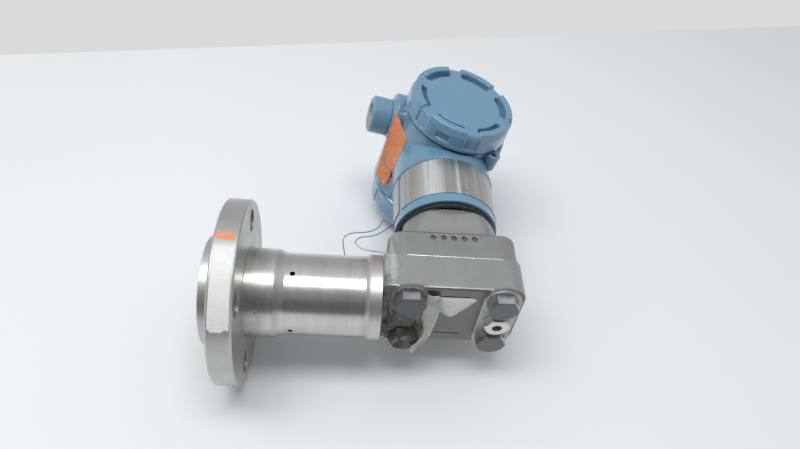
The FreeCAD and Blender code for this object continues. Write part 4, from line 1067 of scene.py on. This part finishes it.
def crustField(look):
    columns, rows = look["grid"]
    lowX, highX = look["x"]
    lowZ, highZ = look["z"]
    tree = nodeTree(look["on"])
    spots = {}
    for row in range(rows):
        z = lowZ + (highZ - lowZ) * row / (rows - 1)
        for column in range(columns):
            x = lowX + (highX - lowX) * column / (columns - 1)
            start = Vector((x, look["level"] - crustLook["above"], z)) * mm
            hit = tree.ray_cast(start, Vector((0.0, 1.0, 0.0)), crustLook["reach"])[0]
            if hit is None:
                continue
            cover = max(1.0 - math.hypot(x - heapX, z - heapZ) / reach for heapX, heapZ, reach in look["heaps"])
            coarse = grit(x, z, 0.34, 1.5)
            fine = grit(x, z, 0.95, 4.0) * 0.5 + grit(x, z, 2.1, 7.0) * 0.25
            lump = max(-0.15, min(cover * 1.6, 0.8) + coarse * 0.35 + fine * 0.5 - look["bare"])
            spots[row, column] = (x, hit.y / mm - look["height"] * lump + crustLook["sunk"], z), lump
    verts = []
    places = {}
    faces = []
    for row, column in spots:
        corners = [(row, column), (row, column + 1), (row + 1, column + 1), (row + 1, column)]
        if not all(corner in spots for corner in corners) or max(spots[corner][1] for corner in corners) <= 0.0:
            continue
        for corner in corners:
            if corner not in places:
                places[corner] = len(verts)
                verts.append(spots[corner][0])
        faces.append(tuple(places[corner] for corner in corners))
    return verts, faces


def driedDirt():
    look = crustLook
    f = Finish("driedDirt")
    cloud = f.band(f.noise(300.0, 5.0, 0.65), 0.40, 0.62)
    damp = f.band(f.noise(120.0, 4.0), 0.44, 0.64)
    colour = f.mix(damp * 0.75, f.mix(cloud, look["colour"], look["dry"]), look["wet"])
    material = f.set(BaseColor=colour, Metallic=0.0, Roughness=0.8 + cloud * 0.15,
                     Normal=f.bump(f.noise(900.0, 4.0, 0.7), 0.00025))
    for name in ("pad", "head"):
        verts, faces = crustField(look[name])
        addMesh(name + "Dirt", verts, faces, material, "base")


driedDirt()
print("dirt dried on")

# Floor, light and camera
stageLook = {
    "drop": 63.6, "lean": 3.1, "floorColour": (0.832, 0.856, 0.878),
    "corners": ((-3.0, -4.0), (4.0, -4.0), (4.0, 1.3313), (-3.0, -0.2479)),
    "lamp": {"size": (1.15, 0.36), "place": (-0.14, -0.03, 1.22), "power": 9.8},
    "tint": (0.965, 0.985, 1.0), "sideways": -0.09,
    "steps": ((-0.86, -0.66, 0.15), (-0.62, -0.30, 0.19), (-0.30, 0.40, 0.27), (0.45, 0.95, -0.24)), "least": 0.155,
    "wall": 0.715, "horizon": (-0.30, -0.05),
}


def areaLamp(name, look):
    data = bpy.data.lights.new(name, "AREA")
    data.shape = "RECTANGLE"
    data.size, data.size_y = look["size"]
    data.energy = look["power"]
    lamp = bpy.data.objects.new(name, data)
    lamp.location = look["place"]
    bpy.context.scene.collection.objects.link(lamp)


def buildStage():
    lean = math.radians(stageLook["lean"])
    mesh = bpy.data.meshes.new("floor")
    level = -stageLook["drop"] * mm / math.cos(lean)
    mesh.from_pydata([(x, y, level - y * math.tan(lean)) for x, y in stageLook["corners"]], [], [(0, 1, 2, 3)])
    floor = bpy.data.objects.new("floor", mesh)
    bpy.context.scene.collection.objects.link(floor)
    f = Finish("paleFloor")
    tone = f.band(f.noise(3.0, 2.0), 0.3, 0.7)
    colour = stageLook["floorColour"]
    mesh.materials.append(f.set(BaseColor=f.mix(tone, colour, scaled(colour, 0.985)), Roughness=0.6, Specular=0.2))

    world = bpy.data.worlds.new("studio")
    bpy.context.scene.world = world
    world.use_nodes = True
    sky = Graph(world.node_tree, "Generated")
    level = stageLook["least"]
    for low, high, gain in stageLook["steps"]:
        level = level + sky.band(sky.axis("Y"), low, high) * gain
    level = level * (1.0 + sky.axis("X") * stageLook["sideways"])
    below = 1.0 - sky.band(sky.axis("Z"), *stageLook["horizon"])
    level = level + (stageLook["wall"] - level) * below
    light = sky.node("Background", None, {0: stageLook["tint"], 1: level})
    output = world.node_tree.nodes.new("ShaderNodeOutputWorld")
    sky.feed(output.inputs[0], light)
    areaLamp("topLamp", stageLook["lamp"])


def placeCamera():
    data = bpy.data.cameras.new("camera")
    data.sensor_width = cameraLook["sensor"]
    data.lens = cameraLook["focal"] / cameraLook["imageWidth"] * cameraLook["sensor"]
    data.clip_start = 0.01
    camera = bpy.data.objects.new("camera", data)
    right, down, ahead = (Vector(cameraLook[key]) for key in ("right", "down", "ahead"))
    turn = Matrix((right, -down, -ahead)).transposed().to_4x4()
    camera.matrix_world = Matrix.Translation(cameraLook["place"]) @ turn
    bpy.context.scene.collection.objects.link(camera)
    bpy.context.scene.camera = camera


buildStage()
placeCamera()
bpy.context.scene.view_settings.view_transform = "Standard"
print("stage and camera set")
